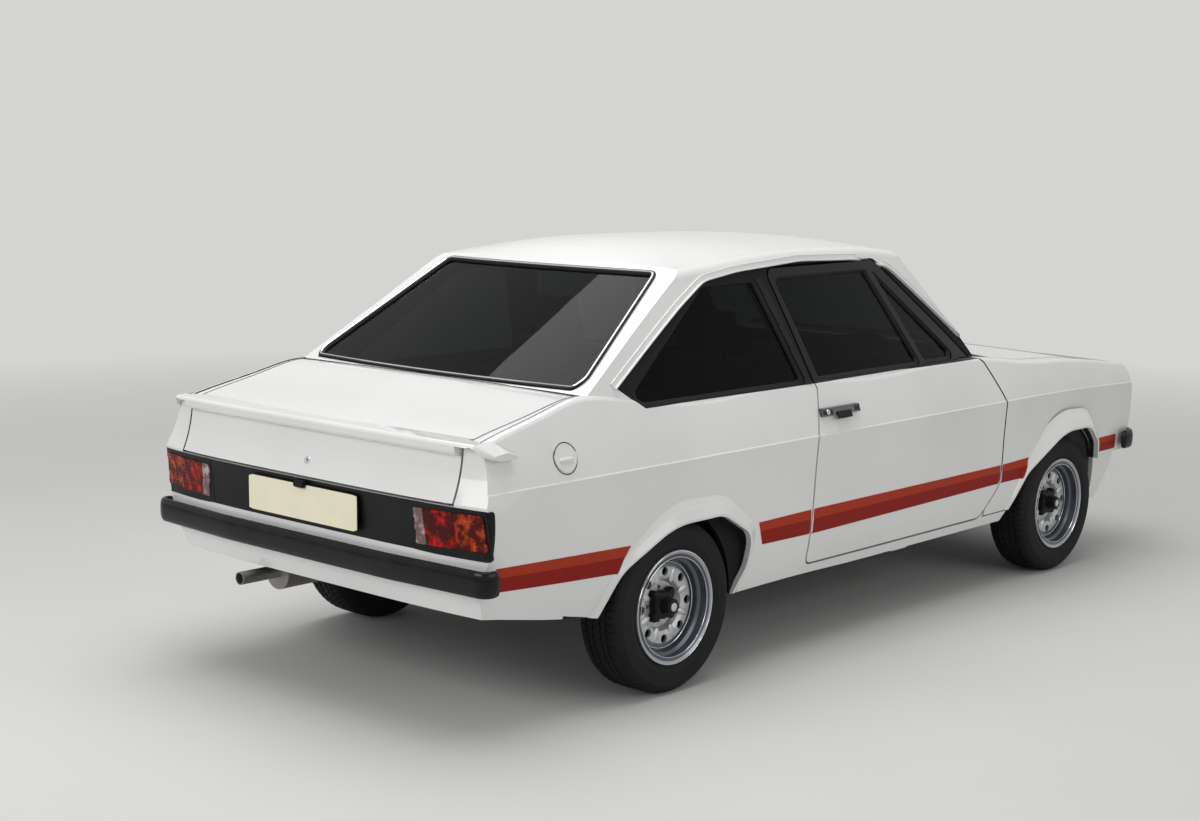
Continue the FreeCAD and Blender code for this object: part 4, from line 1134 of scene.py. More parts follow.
class Skin:
    """Finds the outer surface of frame nodes along lines of sight."""

    def __init__(self, workshop: Workshop, names: Sequence[str]) -> None:
        """Prepares the named nodes for searching.

        Args:
            workshop: where the frame's nodes are kept.
            names: the nodes' names.
        """
        self.trees = []
        for name in names:
            data = workshop.nodes[name].data
            spots = [v.co.copy() for v in data.vertices]
            self.trees.append(BVHTree.FromPolygons(spots, [tuple(p.vertices) for p in data.polygons]))

    def hit(self, view: View, u: float, v: float) -> tuple[Vector, Vector] | None:
        """The first surface met.

        Args:
            view: where the drawing is seen from.
            u: the drawing's first coordinate.
            v: the drawing's second coordinate.

        Returns:
            The place and the surface's direction towards the viewer, or None where nothing is met.
        """
        start, direction = view.ray(u, v)
        best = None
        for tree in self.trees:
            spot, normal, _, distance = tree.ray_cast(start, direction)
            if spot is not None and (best is None or distance < best[2]):
                best = (spot, normal if normal.dot(direction) < 0 else -normal, distance)
        return best[:2] if best else None

    def path(self, view: View, points: Sequence[Point], closed: bool) -> tuple[list[Vector], list[Vector]]:
        """Lays a drawn line on the surface.

        Args:
            view: where the drawing is seen from.
            points: the drawn line.
            closed: whether it comes back to its start.

        Returns:
            Its places and evened surface directions, without the points that meet nothing.
        """
        found = [self.hit(view, u, v) for u, v in points]
        found = [f for f in found if f]
        normals = smoothed([f[1] for f in found], closed, 12)
        return smoothed([f[0] for f in found], closed, 1), [n.normalized() for n in normals]

    def patch(self, view: View, outline: Sequence[Point], spacing: float, lift: float, depth: float = 0.0006,
              relief: Callable[[float, float], float] | None = None) -> Draft:
        """Lays a thin closed sheet of a drawn outline on the surface.

        Args:
            view: where the drawing is seen from.
            outline: the closed outline.
            spacing: the size of its mesh inside.
            lift: how far its face stands off the surface.
            depth: how far its back reaches below its face.
            relief: an extra height by drawn place, for ribs and facets.

        Returns:
            The mesh.
        """
        low_u, high_u = min(p[0] for p in outline), max(p[0] for p in outline)
        low_v, high_v = min(p[1] for p in outline), max(p[1] for p in outline)
        core = inset(outline, spacing * 0.6)
        inner = []
        for i in range(1, int((high_u - low_u) / spacing) + 1):
            for j in range(1, int((high_v - low_v) / spacing) + 1):
                spot = (low_u + i * spacing, low_v + j * spacing)
                if within(spot, core):
                    inner.append(spot)
        spots = [Vector(p) for p in list(outline) + inner]
        flat, _, triangles, _, _, _ = delaunay_2d_cdt(spots, [], [list(range(len(outline)))], 1, 1e-7)
        tops, backs, index = [], [], {}
        for place, spot in enumerate(flat):
            found = self.hit(view, spot.x, spot.y)
            if found:
                extra = relief(spot.x, spot.y) if relief else 0.0
                index[place] = len(tops)
                tops.append(found[0] + found[1] * (lift + extra))
                backs.append(found[0] + found[1] * (lift - depth))
        kept = [tuple(index[i] for i in face) for face in triangles if all(i in index for i in face)]
        made = Draft(tops + backs)
        size = len(tops)
        uses: dict[tuple[int, int], int] = {}
        for face in kept:
            made.faces.append(face)
            made.faces.append(tuple(size + i for i in reversed(face)))
            for a, b in zip(face, face[1:] + face[:1]):
                uses[(a, b)] = uses.get((a, b), 0) + 1
        for a, b in uses:
            if (b, a) not in uses:
                made.faces.append((a, b, size + b, size + a))
        return made


@dataclass
class Studio:
    """The pale floor, the soft lamps and the camera at the photograph's place."""

    camera_at: tuple[float, float, float] = (-5.5389, -4.4963, 1.7433)
    azimuth: float = -47.437
    elevation: float = 8.312
    roll: float = 0.612
    lens: float = 56.967
    floor_colour: Colour = (0.62, 0.62, 0.61)
    backdrop: Colour = (0.66, 0.66, 0.65)
    fade_from: float = 2.8
    fade_to: float = 8.5
    reach: float = 40.0
    fill: float = 0.42
    aim: tuple[float, float, float] = (0, 0, 0.6)

    def build(self) -> None:
        """Sets up everything that isn't part of the car."""
        scene = bpy.context.scene
        scene.view_settings.view_transform = "Standard"
        self.floor()
        self.lamps()
        self.world()
        self.camera()

    def floor(self) -> None:
        """Lays the floor."""
        mesh = bpy.data.meshes.new("studio_floor")
        far = self.reach
        mesh.from_pydata([(-far, -far, 0), (far, -far, 0), (far, far, 0), (-far, far, 0)], [], [(0, 1, 2, 3)])
        ground = bpy.data.objects.new("studio_floor", mesh)
        bpy.context.scene.collection.objects.link(ground)
        made = Shader("studio_floor")
        pale = self.floor_colour
        dim = tuple(c * 0.97 for c in pale)
        made.link(made.ramp(made.noise(0.8, 3.0), [(0.35, dim), (0.65, pale)]), "Base Color")
        made.set(Roughness=0.8, Specular_IOR_Level=0.2)
        self.fade(made)
        mesh.materials.append(made.material)

    def fade(self, made: Shader) -> None:
        """Lets the far floor run into the backdrop for the camera, away from the car's shadow.

        Args:
            made: the floor's shader.
        """
        length = made.node("VectorMath", operation="LENGTH")
        made.tree.links.new(made.place(), length.inputs[0])
        share = made.node("MapRange", Value=length.outputs["Value"], From_Min=self.fade_from,
                          From_Max=self.fade_to)
        seen = made.node("LightPath").outputs["Is Camera Ray"]
        glow = made.node("Emission", Color=(*self.backdrop, 1), Strength=1.0)
        mixed = made.node("MixShader")
        made.tree.links.new(made.maths("MULTIPLY", share.outputs[0], seen), mixed.inputs[0])
        made.tree.links.new(made.body.outputs[0], mixed.inputs[1])
        made.tree.links.new(glow.outputs[0], mixed.inputs[2])
        made.tree.links.new(mixed.outputs[0], made.tree.nodes["Material Output"].inputs["Surface"])

    def lamp(self, name: str, at: Sequence[float], size: Point, power: float) -> None:
        """Hangs one soft rectangular lamp that looks at the middle of the car.

        Args:
            name: the lamp's name.
            at: where it hangs.
            size: its two sides.
            power: its power in watts.
        """
        data = bpy.data.lights.new(name, "AREA")
        data.shape = "RECTANGLE"
        data.size, data.size_y = size
        data.energy = power
        lamp = bpy.data.objects.new(name, data)
        lamp.location = at
        lamp.rotation_euler = (Vector(self.aim) - Vector(at)).to_track_quat("-Z", "Y").to_euler()
        bpy.context.scene.collection.objects.link(lamp)

    def lamps(self) -> None:
        """Hangs the overhead lamp and the two fills."""
        self.lamp("lamp_over", (-0.6, 0.4, 5.5), (6.0, 4.0), 215)
        self.lamp("lamp_rear", (-6.5, 0.5, 3.2), (4.0, 2.5), 120)
        self.lamp("lamp_side", (0.0, -7.0, 3.0), (6.0, 2.5), 75)

    def world(self) -> None:
        """Gives a pale surround to the camera, to gloss and to glass, and a soft fill to the car."""
        world = bpy.data.worlds.new("studio")
        bpy.context.scene.world = world
        world.use_nodes = True
        tree = world.node_tree
        tree.nodes.clear()
        path = tree.nodes.new("ShaderNodeLightPath")
        seen = path.outputs["Is Camera Ray"]
        for name in ("Is Glossy Ray", "Is Transmission Ray"):
            either = tree.nodes.new("ShaderNodeMath")
            either.operation = "MAXIMUM"
            tree.links.new(seen, either.inputs[0])
            tree.links.new(path.outputs[name], either.inputs[1])
            seen = either.outputs[0]
        fill = tree.nodes.new("ShaderNodeBackground")
        fill.inputs[0].default_value = (1, 1, 1, 1)
        fill.inputs[1].default_value = self.fill
        shown = tree.nodes.new("ShaderNodeBackground")
        shown.inputs[0].default_value = (*self.backdrop, 1)
        shown.inputs[1].default_value = 1.0
        mixed = tree.nodes.new("ShaderNodeMixShader")
        out = tree.nodes.new("ShaderNodeOutputWorld")
        tree.links.new(seen, mixed.inputs[0])
        tree.links.new(fill.outputs[0], mixed.inputs[1])
        tree.links.new(shown.outputs[0], mixed.inputs[2])
        tree.links.new(mixed.outputs[0], out.inputs[0])

    def camera(self) -> None:
        """Sets the camera where the photograph was taken."""
        data = bpy.data.cameras.new("camera")
        data.sensor_width = 36.0
        data.lens = self.lens
        data.clip_end = 200.0
        eye = bpy.data.objects.new("camera", data)
        az, el, roll = (radians(v) for v in (self.azimuth, self.elevation, self.roll))
        back = Vector((sin(az) * cos(el), -cos(az) * cos(el), sin(el)))
        right = Vector((cos(az), sin(az), 0))
        up = back.cross(right)
        c, s = cos(roll), sin(roll)
        right, up = c * right + s * up, -s * right + c * up
        turn = Matrix((right, up, back)).transposed().to_4x4()
        eye.matrix_world = Matrix.Translation(self.camera_at) @ turn
        bpy.context.scene.collection.objects.link(eye)
        bpy.context.scene.camera = eye


def level(line: Sequence[Point], x: float) -> float:
    """The height of a drawn line at one place along the car.

    Args:
        line: the line.
        x: the place.

    Returns:
        The height.
    """
    for (x0, z0), (x1, z1) in zip(line, line[1:]):
        if x <= x1:
            return z0 + (z1 - z0) * (x - x0) / (x1 - x0)
    return line[-1][1]


@dataclass
class BodyShell:
    """The painted panels, with the stripes, the black tail panel and the drip rails."""

    shop: Workshop
    stripe_upper: Line = (
        (-1.888, 0.525), (-1.325, 0.507), (-0.694, 0.487), (-0.366, 0.491), (0.823, 0.492), (1.067, 0.498),
        (1.623, 0.505), (1.9, 0.505))
    stripe_lower: Line = (
        (-1.857, 0.45), (-1.393, 0.429), (-0.662, 0.41), (-0.36, 0.406), (0.824, 0.421), (1.019, 0.42),
        (1.642, 0.445), (1.9, 0.445))
    split: float = 0.4
    rail_profile: Line = (
        (-0.012, -0.004), (-0.012, 0.01), (-0.0105, 0.0118), (-0.0075, 0.0118), (-0.006, 0.01),
        (-0.005, 0.0035), (0.009, 0.0028), (0.011, 0.0055), (0.013, 0.0028), (0.013, -0.004))
    rail_line: Corners = (
        (0.83, 0.908, 0), (0.611, 1.061, 0.5), (0.421, 1.195, 0.5), (0.3, 1.276, 0.15), (0.1, 1.313, 0.6),
        (-0.271, 1.324, 1.0), (-0.617, 1.304, 0.6), (-0.8, 1.279, 0.12), (-0.95, 1.199, 0.8),
        (-1.318, 0.979, 0))
    pillar_outline: Corners = (
        (-0.343, 0.909, 0.002), (-0.4975, 1.266, 0.006), (-0.544, 1.268, 0.006), (-0.384, 0.909, 0.002))
    tail_outline: Corners = (
        (-0.54, 0.5535, 0.002), (0.54, 0.5535, 0.002), (0.54, 0.6975, 0.002), (-0.54, 0.6975, 0.002))
    surround_outline: Corners = (
        (-1.046, 0.5535, 0.002), (-0.808, 0.55, 0.01), (-0.8275, 0.6965, 0.01), (-1.046, 0.6975, 0.002))
    wrap_outline: Corners = (
        (-1.952, 0.5505, 0.002), (-1.9085, 0.5505, 0.012), (-1.9085, 0.6965, 0.012), (-1.952, 0.6965, 0.002))

    def build(self) -> None:
        """Dresses the shell."""
        self.panels()
        for side in Side:
            self.stripes(side)
            self.drip_rail(side)
            self.pillar(side)
            self.lamp_surround(side)
            self.dam_lip(side)
        self.tail_panel()

    def panels(self) -> None:
        """Gives the frame's own panels their finishes."""
        table = {
            "paint": ("front_panel", "rear_panel", "front_air_dam", "fuel_cap", "bonnet", "boot_lid",
                      "rear_spoiler"),
            "arch_paint": ("wing_right", "wing_left", "body_side_right", "body_side_left"),
            "door_paint": ("door_right", "door_left"), "roof_paint": ("roof_panel",), "floor": ("floor_pan",),
            "inner": ("bulkhead_and_scuttle", "rear_bulkhead"), "chassis": ("front_frame", "rear_axle"),
            "glass": ("windscreen", "rear_screen", "quarter_windows", "door_glass_right", "door_glass_left"),
            "gloss_black": ("front_bumpers", "rear_bumper"), "matt_black": ("grille",),
            "satin_black": ("tail_lamps",), "lamp_glass": ("front_lamps",), "engine": ("engine_block",),
            "iron": ("knuckle_front_right", "knuckle_front_left"), "alloy": ("gearbox_and_propshaft",),
            "steel": ("exhaust",), "cloth": ("seats",), "plastic": ("dashboard", "steering_wheel"),
            "grey_metal": ("door_handle_right", "door_handle_left"),
            "rim_front": ("rim_front_right", "rim_front_left"),
            "rim_rear": ("rim_rear_right", "rim_rear_left"),
            "tyre": ("tyre_front_right", "tyre_front_left", "tyre_rear_right", "tyre_rear_left"),
        }
        for finish, nodes in table.items():
            for node in nodes:
                self.shop.finish_node(node, finish)

    def stripes(self, side: Side) -> None:
        """Lays both tapes on one side, a length on each panel with its ends cut along the arches.

        Args:
            side: its side of the car.
        """
        word = side.word
        lengths = [
            ("quarter", "body_side_" + word, "root", (-1.886, -1.886), (-1.321, -1.382)),
            ("sill", "body_side_" + word, "root", (-0.692, -0.668), (-0.4055, -0.4055)),
            ("door", "door_" + word, "door_" + word, (-0.3975, -0.3975), (0.824, 0.824)),
            ("wing", "wing_" + word, "root", (0.8315, 0.8315), (1.04, 0.988)),
            ("nose", "wing_" + word, "root", (1.626, 1.644), (1.806, 1.806)),
        ]
        for label, node, body, start, end in lengths:
            skin = Skin(self.shop, [node])
            for tape, low, high in (("lower", 0.0, 1 - self.split), ("upper", 1 - self.split, 1.0)):
                def spot(along: float, up: float) -> Point:
                    """A point of the tape.

                    Args:
                        along: its share of the length.
                        up: its share of both tapes' height.

                    Returns:
                        The point of the drawing.
                    """
                    first = start[0] * up + start[1] * (1 - up)
                    last = end[0] * up + end[1] * (1 - up)
                    x = first + (last - first) * along
                    floor, roof = level(self.stripe_lower, x), level(self.stripe_upper, x)
                    return x, floor + (roof - floor) * up
                steps = max(2, int((end[0] - start[0]) / 0.01))
                outline = [spot(i / steps, low) for i in range(steps + 1)]
                outline += [spot(1, low + (high - low) * j / 4) for j in range(1, 4)]
                outline += [spot(1 - i / steps, high) for i in range(steps + 1)]
                outline += [spot(0, high - (high - low) * j / 4) for j in range(1, 4)]
                sheet = skin.patch(side_view(side), outline, 0.008, 0.0012, 0.0016)
                self.shop.piece(f"stripe_{tape}_{label}_{word}", sheet, "tape_" + tape, body)

    def drip_rail(self, side: Side) -> None:
        """Runs the rain gutter from the foot of the screen pillar over the door and down the rear pillar.

        Args:
            side: its side of the car.
        """
        skin = Skin(self.shop, ["body_side_right", "roof_panel"])
        places, normals = skin.path(View.RIGHT, rounded(self.rail_line, 0.02, closed=False), False)
        rail = sweep(places, normals, self.rail_profile, False)
        if side is Side.LEFT:
            rail = rail.mirrored()
        self.shop.piece("drip_rail_" + side.word, rail, "paint")

    def pillar(self, side: Side) -> None:
        """Covers the pillar behind the door in black, from the door's gap to the quarter window's rubber.

        Args:
            side: its side of the car.
        """
        skin = Skin(self.shop, ["body_side_" + side.word])
        cover = skin.patch(side_view(side), rounded(self.pillar_outline, 0.008), 0.009, 0.003, 0.0034)
        self.shop.piece("pillar_cover_" + side.word, cover, "satin_black")

    def dam_lip(self, side: Side) -> None:
        """Rolls the upper edge of the air dam under the nose of the wing.

        Args:
            side: its side of the car.
        """
        skin = Skin(self.shop, ["wing_" + side.word, "front_air_dam"])
        line = [(1.652 + 0.008 * k, 0.436 + 0.0003 * k) for k in range(20)]
        places, normals = skin.path(side_view(side), line, False)
        profile = [(0.005 * c, 0.004 * s) for c, s in circle(8)]
        lip = sweep(places, normals, profile, False, rounded_end(0.152, 0.01))
        self.shop.piece("dam_lip_" + side.word, lip, "paint", sharp=60)

    def tail_panel(self) -> None:
        """Blacks the tail between the lamps."""
        skin = Skin(self.shop, ["rear_panel", "tail_lamps", "body_side_right", "body_side_left"])
        sheet = skin.patch(View.REAR, rounded(self.tail_outline, 0.015), 0.02, 0.0012, 0.0016)
        self.shop.piece("tail_panel_black", sheet, "satin_black")

    def lamp_surround(self, side: Side) -> None:
        """Carries the black of the tail round one corner, as the lamp's frame.

        Args:
            side: its side of the car.
        """
        word = side.word
        skin = Skin(self.shop, ["rear_panel", "tail_lamps", "body_side_" + word])
        sheet = skin.patch(corner_view(side), rounded(self.surround_outline, 0.01), 0.012, 0.0022, 0.003)
        self.shop.piece("lamp_surround_" + word, sheet, "satin_black")
        sheet = skin.patch(side_view(side), rounded(self.wrap_outline, 0.006), 0.008, 0.0022, 0.003)
        self.shop.piece("lamp_wrap_" + word, sheet, "satin_black")


@dataclass
class Glazing:
    """The rubber round every window and the bright bead in the two screens."""

    shop: Workshop
    screens: tuple[tuple[str, View, Corners], ...] = (
        ("windscreen", View.FRONT, ((-0.527, 0.922, 0.02), (-0.588, 0.986, 0.03), (-0.503, 1.306, 0.04),
                                    (0.503, 1.306, 0.04), (0.588, 0.986, 0.03), (0.527, 0.922, 0.02))),
        ("rear_screen", View.REAR, ((-0.626, 0.974, 0.022), (-0.487, 1.296, 0.03), (0.487, 1.296, 0.03),
                                    (0.626, 0.974, 0.022))),
    )
    quarter: Corners = (
        (-0.376, 0.912, 0.015), (-0.536, 1.265, 0.018), (-0.8, 1.262, 0.036), (-1.246, 0.948, 0.02),
        (-1.19, 0.91, 0.024))
    door_rear: Corners = (
        (-0.296, 0.914, 0.02), (-0.442, 1.27, 0.026), (0.142, 1.27, 0.014), (0.372, 0.914, 0.014))
    door_front: Corners = (
        (0.4, 0.914, 0.012), (0.178, 1.262, 0.012), (0.196, 1.257, 0.02), (0.648, 0.914, 0.018))
    rubber: Line = (
        (-0.011, -0.002), (-0.011, 0.003), (-0.007, 0.0085), (0.001, 0.0115), (0.007, 0.0112),
        (0.0095, 0.0085), (0.004, 0.006), (0.002, -0.002))
    bead: Line = ((-0.004, 0.0085), (-0.004, 0.0118), (-0.001, 0.0138), (0.002, 0.0128), (0.003, 0.0095))

    def build(self) -> None:
        """Dresses every window."""
        for node, view, corners in self.screens:
            self.seal(node, node, view, corners, "root", True)
        for side in Side:
            word = side.word
            self.seal("quarter_" + word, "quarter_windows", side_view(side), self.quarter, "root")
            for label, corners in (("rear", self.door_rear), ("front", self.door_front)):
                self.seal(f"door_{label}_{word}", "door_glass_" + word, side_view(side), corners,
                          "door_" + word)

    def seal(self, name: str, node: str, view: View, corners: Sequence[Corner], body: str,
             bead: bool = False) -> None:
        """Runs the rubber and perhaps the bead round one window.

        Args:
            name: the window's name.
            node: the frame node of its glass.
            view: where its outline is drawn from.
            corners: the outline.
            body: the frame body that it moves with.
            bead: whether it has the bright bead.
        """
        skin = Skin(self.shop, [node])
        line = inset(rounded(corners, 0.01), 0.002)
        places, normals = skin.path(view, line, True)
        self.shop.piece("seal_" + name, sweep(places, normals, self.rubber, True), "rubber", body)
        if bead:
            self.shop.piece("bead_" + name, sweep(places, normals, self.bead, True), "bright", body)


@dataclass
class Wheel:
    """A tyre with its tread, the trim of the pressed rim and the black cap over the hub.

    The tyre's wall is drawn in (radius, distance outwards), and its tread in (distance from the middle,
    depth).
    """

    shop: Workshop
    end: str
    side: Side
    centre: Vector
    segments: int = 288
    pitch: int = 4
    radius: float = HUB_HEIGHT
    wall: Line = (
        (0.174, 0.046), (0.1656, 0.05), (0.1656, 0.0725), (0.1815, 0.0766), (0.185, 0.0786), (0.19, 0.0806),
        (0.198, 0.0834), (0.206, 0.0856), (0.2085, 0.0871), (0.2115, 0.0864), (0.222, 0.0877), (0.235, 0.088),
        (0.244, 0.0868), (0.248, 0.0871), (0.2515, 0.085), (0.26, 0.0796), (0.267, 0.0736))
    tread: Line = (
        (0.0665, 0.0), (0.062, 0.0), (0.058, 0.0), (0.044, 0.0), (0.042, 0.0), (0.0413, 0.007),
        (0.0372, 0.007), (0.0365, 0.0), (0.0352, 0.0), (0.0205, 0.0), (0.0188, 0.0), (0.018, 0.007),
        (0.0142, 0.007), (0.0134, 0.0), (0.011, 0.0), (0.0, 0.0))
    bump_count: int = 8
    bump_ring: float = 0.1
    disc_out: float = 0.0375
    edges: Corners = ((0.1795, 0.0842, 0.0016), (0.1595, 0.08, 0.0013), (0.138, 0.0345, 0.0016))
    nut: Line = ((0.0105, 0.0), (0.0105, 0.012), (0.0085, 0.016), (0.004, 0.017))
    valve: Line = ((0.0045, 0.0), (0.004, 0.018), (0.005, 0.02), (0.005, 0.03), (0.003, 0.032))
    cap_steps: Corners = (
        (0.012, 1.0, 1.0), (0.034, 1.0, 1.0), (0.039, 0.96, 0.9), (0.042, 0.88, 0.7), (0.043, 0.72, 0.2),
        (0.045, 0.62, 0.0), (0.056, 0.58, 0.0), (0.07, 0.57, 0.0), (0.075, 0.55, 0.0), (0.0775, 0.5, 0.0),
        (0.078, 0.44, 0.0))
    cap_disc: Line = ((0.0135, 0.0), (0.0135, 0.0012), (0.0125, 0.0018), (0.004, 0.002))

    @property
    def place(self) -> str:
        """The wheel's end and side of the car, as the frame's names have them."""
        return f"{self.end}_{self.side.word}"

    @property
    def body(self) -> str:
        """The frame body that turns with the wheel."""
        return "wheel_" + self.place

    def build(self) -> None:
        """Makes the tyre, the rim's trim and the cap."""
        self.tyre()
        self.rim_trim()
        self.cap()

    def spot(self, angle: float, radius: float, out: float) -> Vector:
        """A place on the wheel by angle, radius and distance outwards."""
        return self.centre + Vector((radius * cos(angle), out * self.side.value, radius * sin(angle)))

    def tread_height(self, angle: int, across: float) -> float:
        """How deep the tread is cut across its ribs.

        Args:
            angle: the number of the step round the tyre.
            across: the distance from the tread's middle.

        Returns:
            The depth below the tread's face.
        """
        phase = angle % self.pitch
        reach = abs(across)
        if reach > 0.0435 and phase == 0:
            return 0.0045
        if 0.02 < reach < 0.0355 and phase == 2:
            return 0.003
        if reach < 0.0112 and phase == 1:
            return 0.0028
        return 0.0

    def tyre(self) -> None:
        """Turns the tyre, with four grooves round it and slots across its ribs."""
        rows = []
        for index in range(self.segments):
            angle = 2 * pi * index / self.segments
            zig = 0.0012 * (1 if index % self.pitch < 2 else -1)
            ring = [(r, -a) for r, a in self.wall]
            for side, span in ((-1, self.tread), (1, tuple(reversed(self.tread[:-1])))):
                for a, groove in span:
                    crown = self.radius - 0.9 * max(0.0, a - 0.028) ** 2 - 0.35 * max(0.0, a - 0.058)
                    cut = groove or self.tread_height(index + 1 + side, a)
                    ring.append((crown - cut, side * a + (zig if 0 < a < 0.045 else 0.0)))
            ring += [(r, a) for r, a in reversed(self.wall)]
            rows.append([self.spot(angle, r, a) for r, a in ring])
        tyre = self.shop.piece("tyre_tread_" + self.place, loft(rows, loop=True), "tyre", self.body, sharp=30)
        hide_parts("tyre_" + self.place)

    def rim_trim(self) -> None:
        """Adds the pressed humps between the holes, the bright edges of the rim, the nuts and the valve."""
        trim = Draft()
        for index in range(self.bump_count):
            angle = pi * (2 * index + 1) / self.bump_count
            rows = []
            for along in (-1, -0.8, -0.4, 0, 0.4, 0.8, 1):
                width = 0.0125 * sqrt(max(0.02, 1 - along * along))
                row = []
                for across in (-1, -0.6, 0, 0.6, 1):
                    high = 0.0062 * (1 - across * across) * (1 - along ** 4) - 0.0015
                    reach = self.bump_ring + 0.026 * along
                    row.append(self.spot(angle + across * width / reach, reach, self.disc_out + high))
                rows.append(row)
            trim.join(loft(rows, ring=False))
        self.shop.piece("rim_humps_" + self.place, trim, "silver", self.body, sharp=60)
        edges = Draft()
        for radius, out, thick in self.edges:
            profile = [(radius + thick * c, out + thick * s) for c, s in circle(8)]
            edges.join(turned(profile, 128, self.centre, self.side.value))
        self.shop.piece("rim_edges_" + self.place, edges, "bright", self.body)
        outward = Vector((0, self.side.value, 0))
        nuts = Draft()
        for index in range(4):
            foot = self.spot(pi * (2 * index + 1) / 4, 0.054, 0.006)
            nuts.join(disc(foot, outward, self.nut, 6))
        nuts.join(disc(self.spot(pi / 2 + 0.2, 0.146, 0.03), outward, self.valve, 12))
        self.shop.piece("wheel_nuts_" + self.place, nuts, "steel", self.body, sharp=30)

    def cap(self) -> None:
        """Makes the black four-lobed cap, its barrel and the plain silver disc on its end."""
        rows = []
        for out, scale, lobe in self.cap_steps:
            row = []
            for index in range(96):
                angle = 2 * pi * index / 96
                wave = max(0.0, -cos(4 * angle)) ** 1.3
                row.append(self.spot(angle, 0.046 * scale + 0.022 * wave * lobe, out))
            rows.append(row)
        self.shop.piece("hub_cap_" + self.place, loft(rows, cap=True), "satin_black", self.body,
                        slot="bumper_black")
        plain = disc(self.spot(0, 0, 0.0772), Vector((0, self.side.value, 0)), self.cap_disc)
        self.shop.piece("hub_disc_" + self.place, plain, "silver", self.body)


@dataclass
class TailEnd:
    """Lamps, plate, bumper and lock of the tail."""

    shop: Workshop
    plate_half: Point = (0.259, 0.0545)
    plate_centre: float = 0.6255
    plate_x: float = -1.9735
    lens_lift: float = 0.005
    clear: Corners = (
        (-1.037, 0.571, 0.003), (-1.0505, 0.677, 0.003), (-1.013, 0.6795, 0.001), (-0.9995, 0.5735, 0.001))
    red: Corners = (
        (-0.9975, 0.5735, 0.001), (-1.011, 0.6795, 0.001), (-0.923, 0.6815, 0.001), (-0.91, 0.576, 0.001))
    amber: Corners = (
        (-0.9095, 0.576, 0.001), (-0.9225, 0.6815, 0.001), (-0.837, 0.684, 0.006), (-0.823, 0.5795, 0.006))
    lock_z: float = 0.752
    lock_ring: Line = (
        (0.0125, 0.0), (0.0125, 0.002), (0.011, 0.0035), (0.0085, 0.0035), (0.008, 0.002), (0.003, 0.002))
    bumper_line: Corners = (
        (-1.893, -0.777, 0), (-1.952, -0.777, 0.072), (-1.9775, -0.3815, 0.9), (-1.9775, 0.3815, 0.9),
        (-1.952, 0.777, 0.072), (-1.893, 0.777, 0))
    bumper_level: float = 0.491

    def build(self) -> None:
        """Dresses the tail."""
        self.plate()
        self.bumper()
        self.lock()
        for side in Side:
            self.lamp(side)

    def plate(self) -> None:
        """Hangs the bare cream plate, its black edge and its small lamp."""
        half_y, half_z = self.plate_half
        corners = [(y, self.plate_centre + z, 0.006) for y, z in (
            (-half_y, -half_z), (half_y, -half_z), (half_y, half_z), (-half_y, half_z))]
        for name, grow, near, far, finish in (("plate_edge", 0.0025, 0.0, 0.0045, "satin_black"),
                                               ("plate_face", 0.0, 0.002, 0.0062, "plate")):
            line = inset(rounded(corners, 0.02), -grow)
            rows = [[Vector((self.plate_x - out, y, z)) for y, z in line] for out in (near, far)]
            self.shop.piece(name, loft(rows, cap=True), finish, slot="", bevel=0.0006)
        lamp = block((self.plate_x - 0.02, -0.024, 0.672), (self.plate_x + 0.002, 0.024, 0.692))
        self.shop.piece("plate_lamp", lamp, "satin_black", bevel=0.003)

    def bumper(self) -> None:
        """Runs the black bar of rounded section round the tail, with a ball at each end."""
        bar = plan_bar(rounded(self.bumper_line, 0.014, closed=False), self.bumper_level, 0.0395, 0.0125, -1)
        for low, high in ((-0.42, -0.38), (0.38, 0.42)):
            bar.join(block((-1.974, low, 0.475), (-1.945, high, 0.515)))
        made = self.shop.piece("bumper_bar_rear", bar, "gloss_black", sharp=50)
        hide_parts("rear_bumper")

    def lock(self) -> None:
        """Sets the round lock in the lid."""
        spot, normal = Skin(self.shop, ["boot_lid"]).hit(View.REAR, 0.0, self.lock_z)
        ring = disc(spot - normal * 0.001, normal, self.lock_ring)
        self.shop.piece("boot_lock", ring, "bright", "boot_lid")
        slot = disc(spot, normal, [(0.003, 0.0), (0.003, 0.0018), (0.001, 0.0019)], 16)
        self.shop.piece("boot_lock_slot", slot, "matt_black", "boot_lid")

    def lamp(self, side: Side) -> None:
        """Sets the clear, the red and the amber lens of one lamp on its housing.

        Args:
            side: its side of the car.
        """
        skin = Skin(self.shop, ["tail_lamps"])

        def facets(u: float, v: float) -> float:
            """The height of the moulded ribs at a drawn place."""
            level = abs(sin((v - 0.56) * pi / 0.012))
            return 0.001 * level + 0.0006 * abs(sin(u * pi / 0.02))

        for label, corners, finish in (("reversing", self.clear, "clear_lens"), ("red", self.red, "red_lens"),
                                       ("amber", self.amber, "amber_lens")):
            drawn = rounded(corners, 0.004)
            lens = skin.patch(corner_view(side), drawn, 0.004, self.lens_lift, 0.004, facets)
            self.shop.piece(f"lens_{label}_{side.word}", lens, finish, sharp=25)


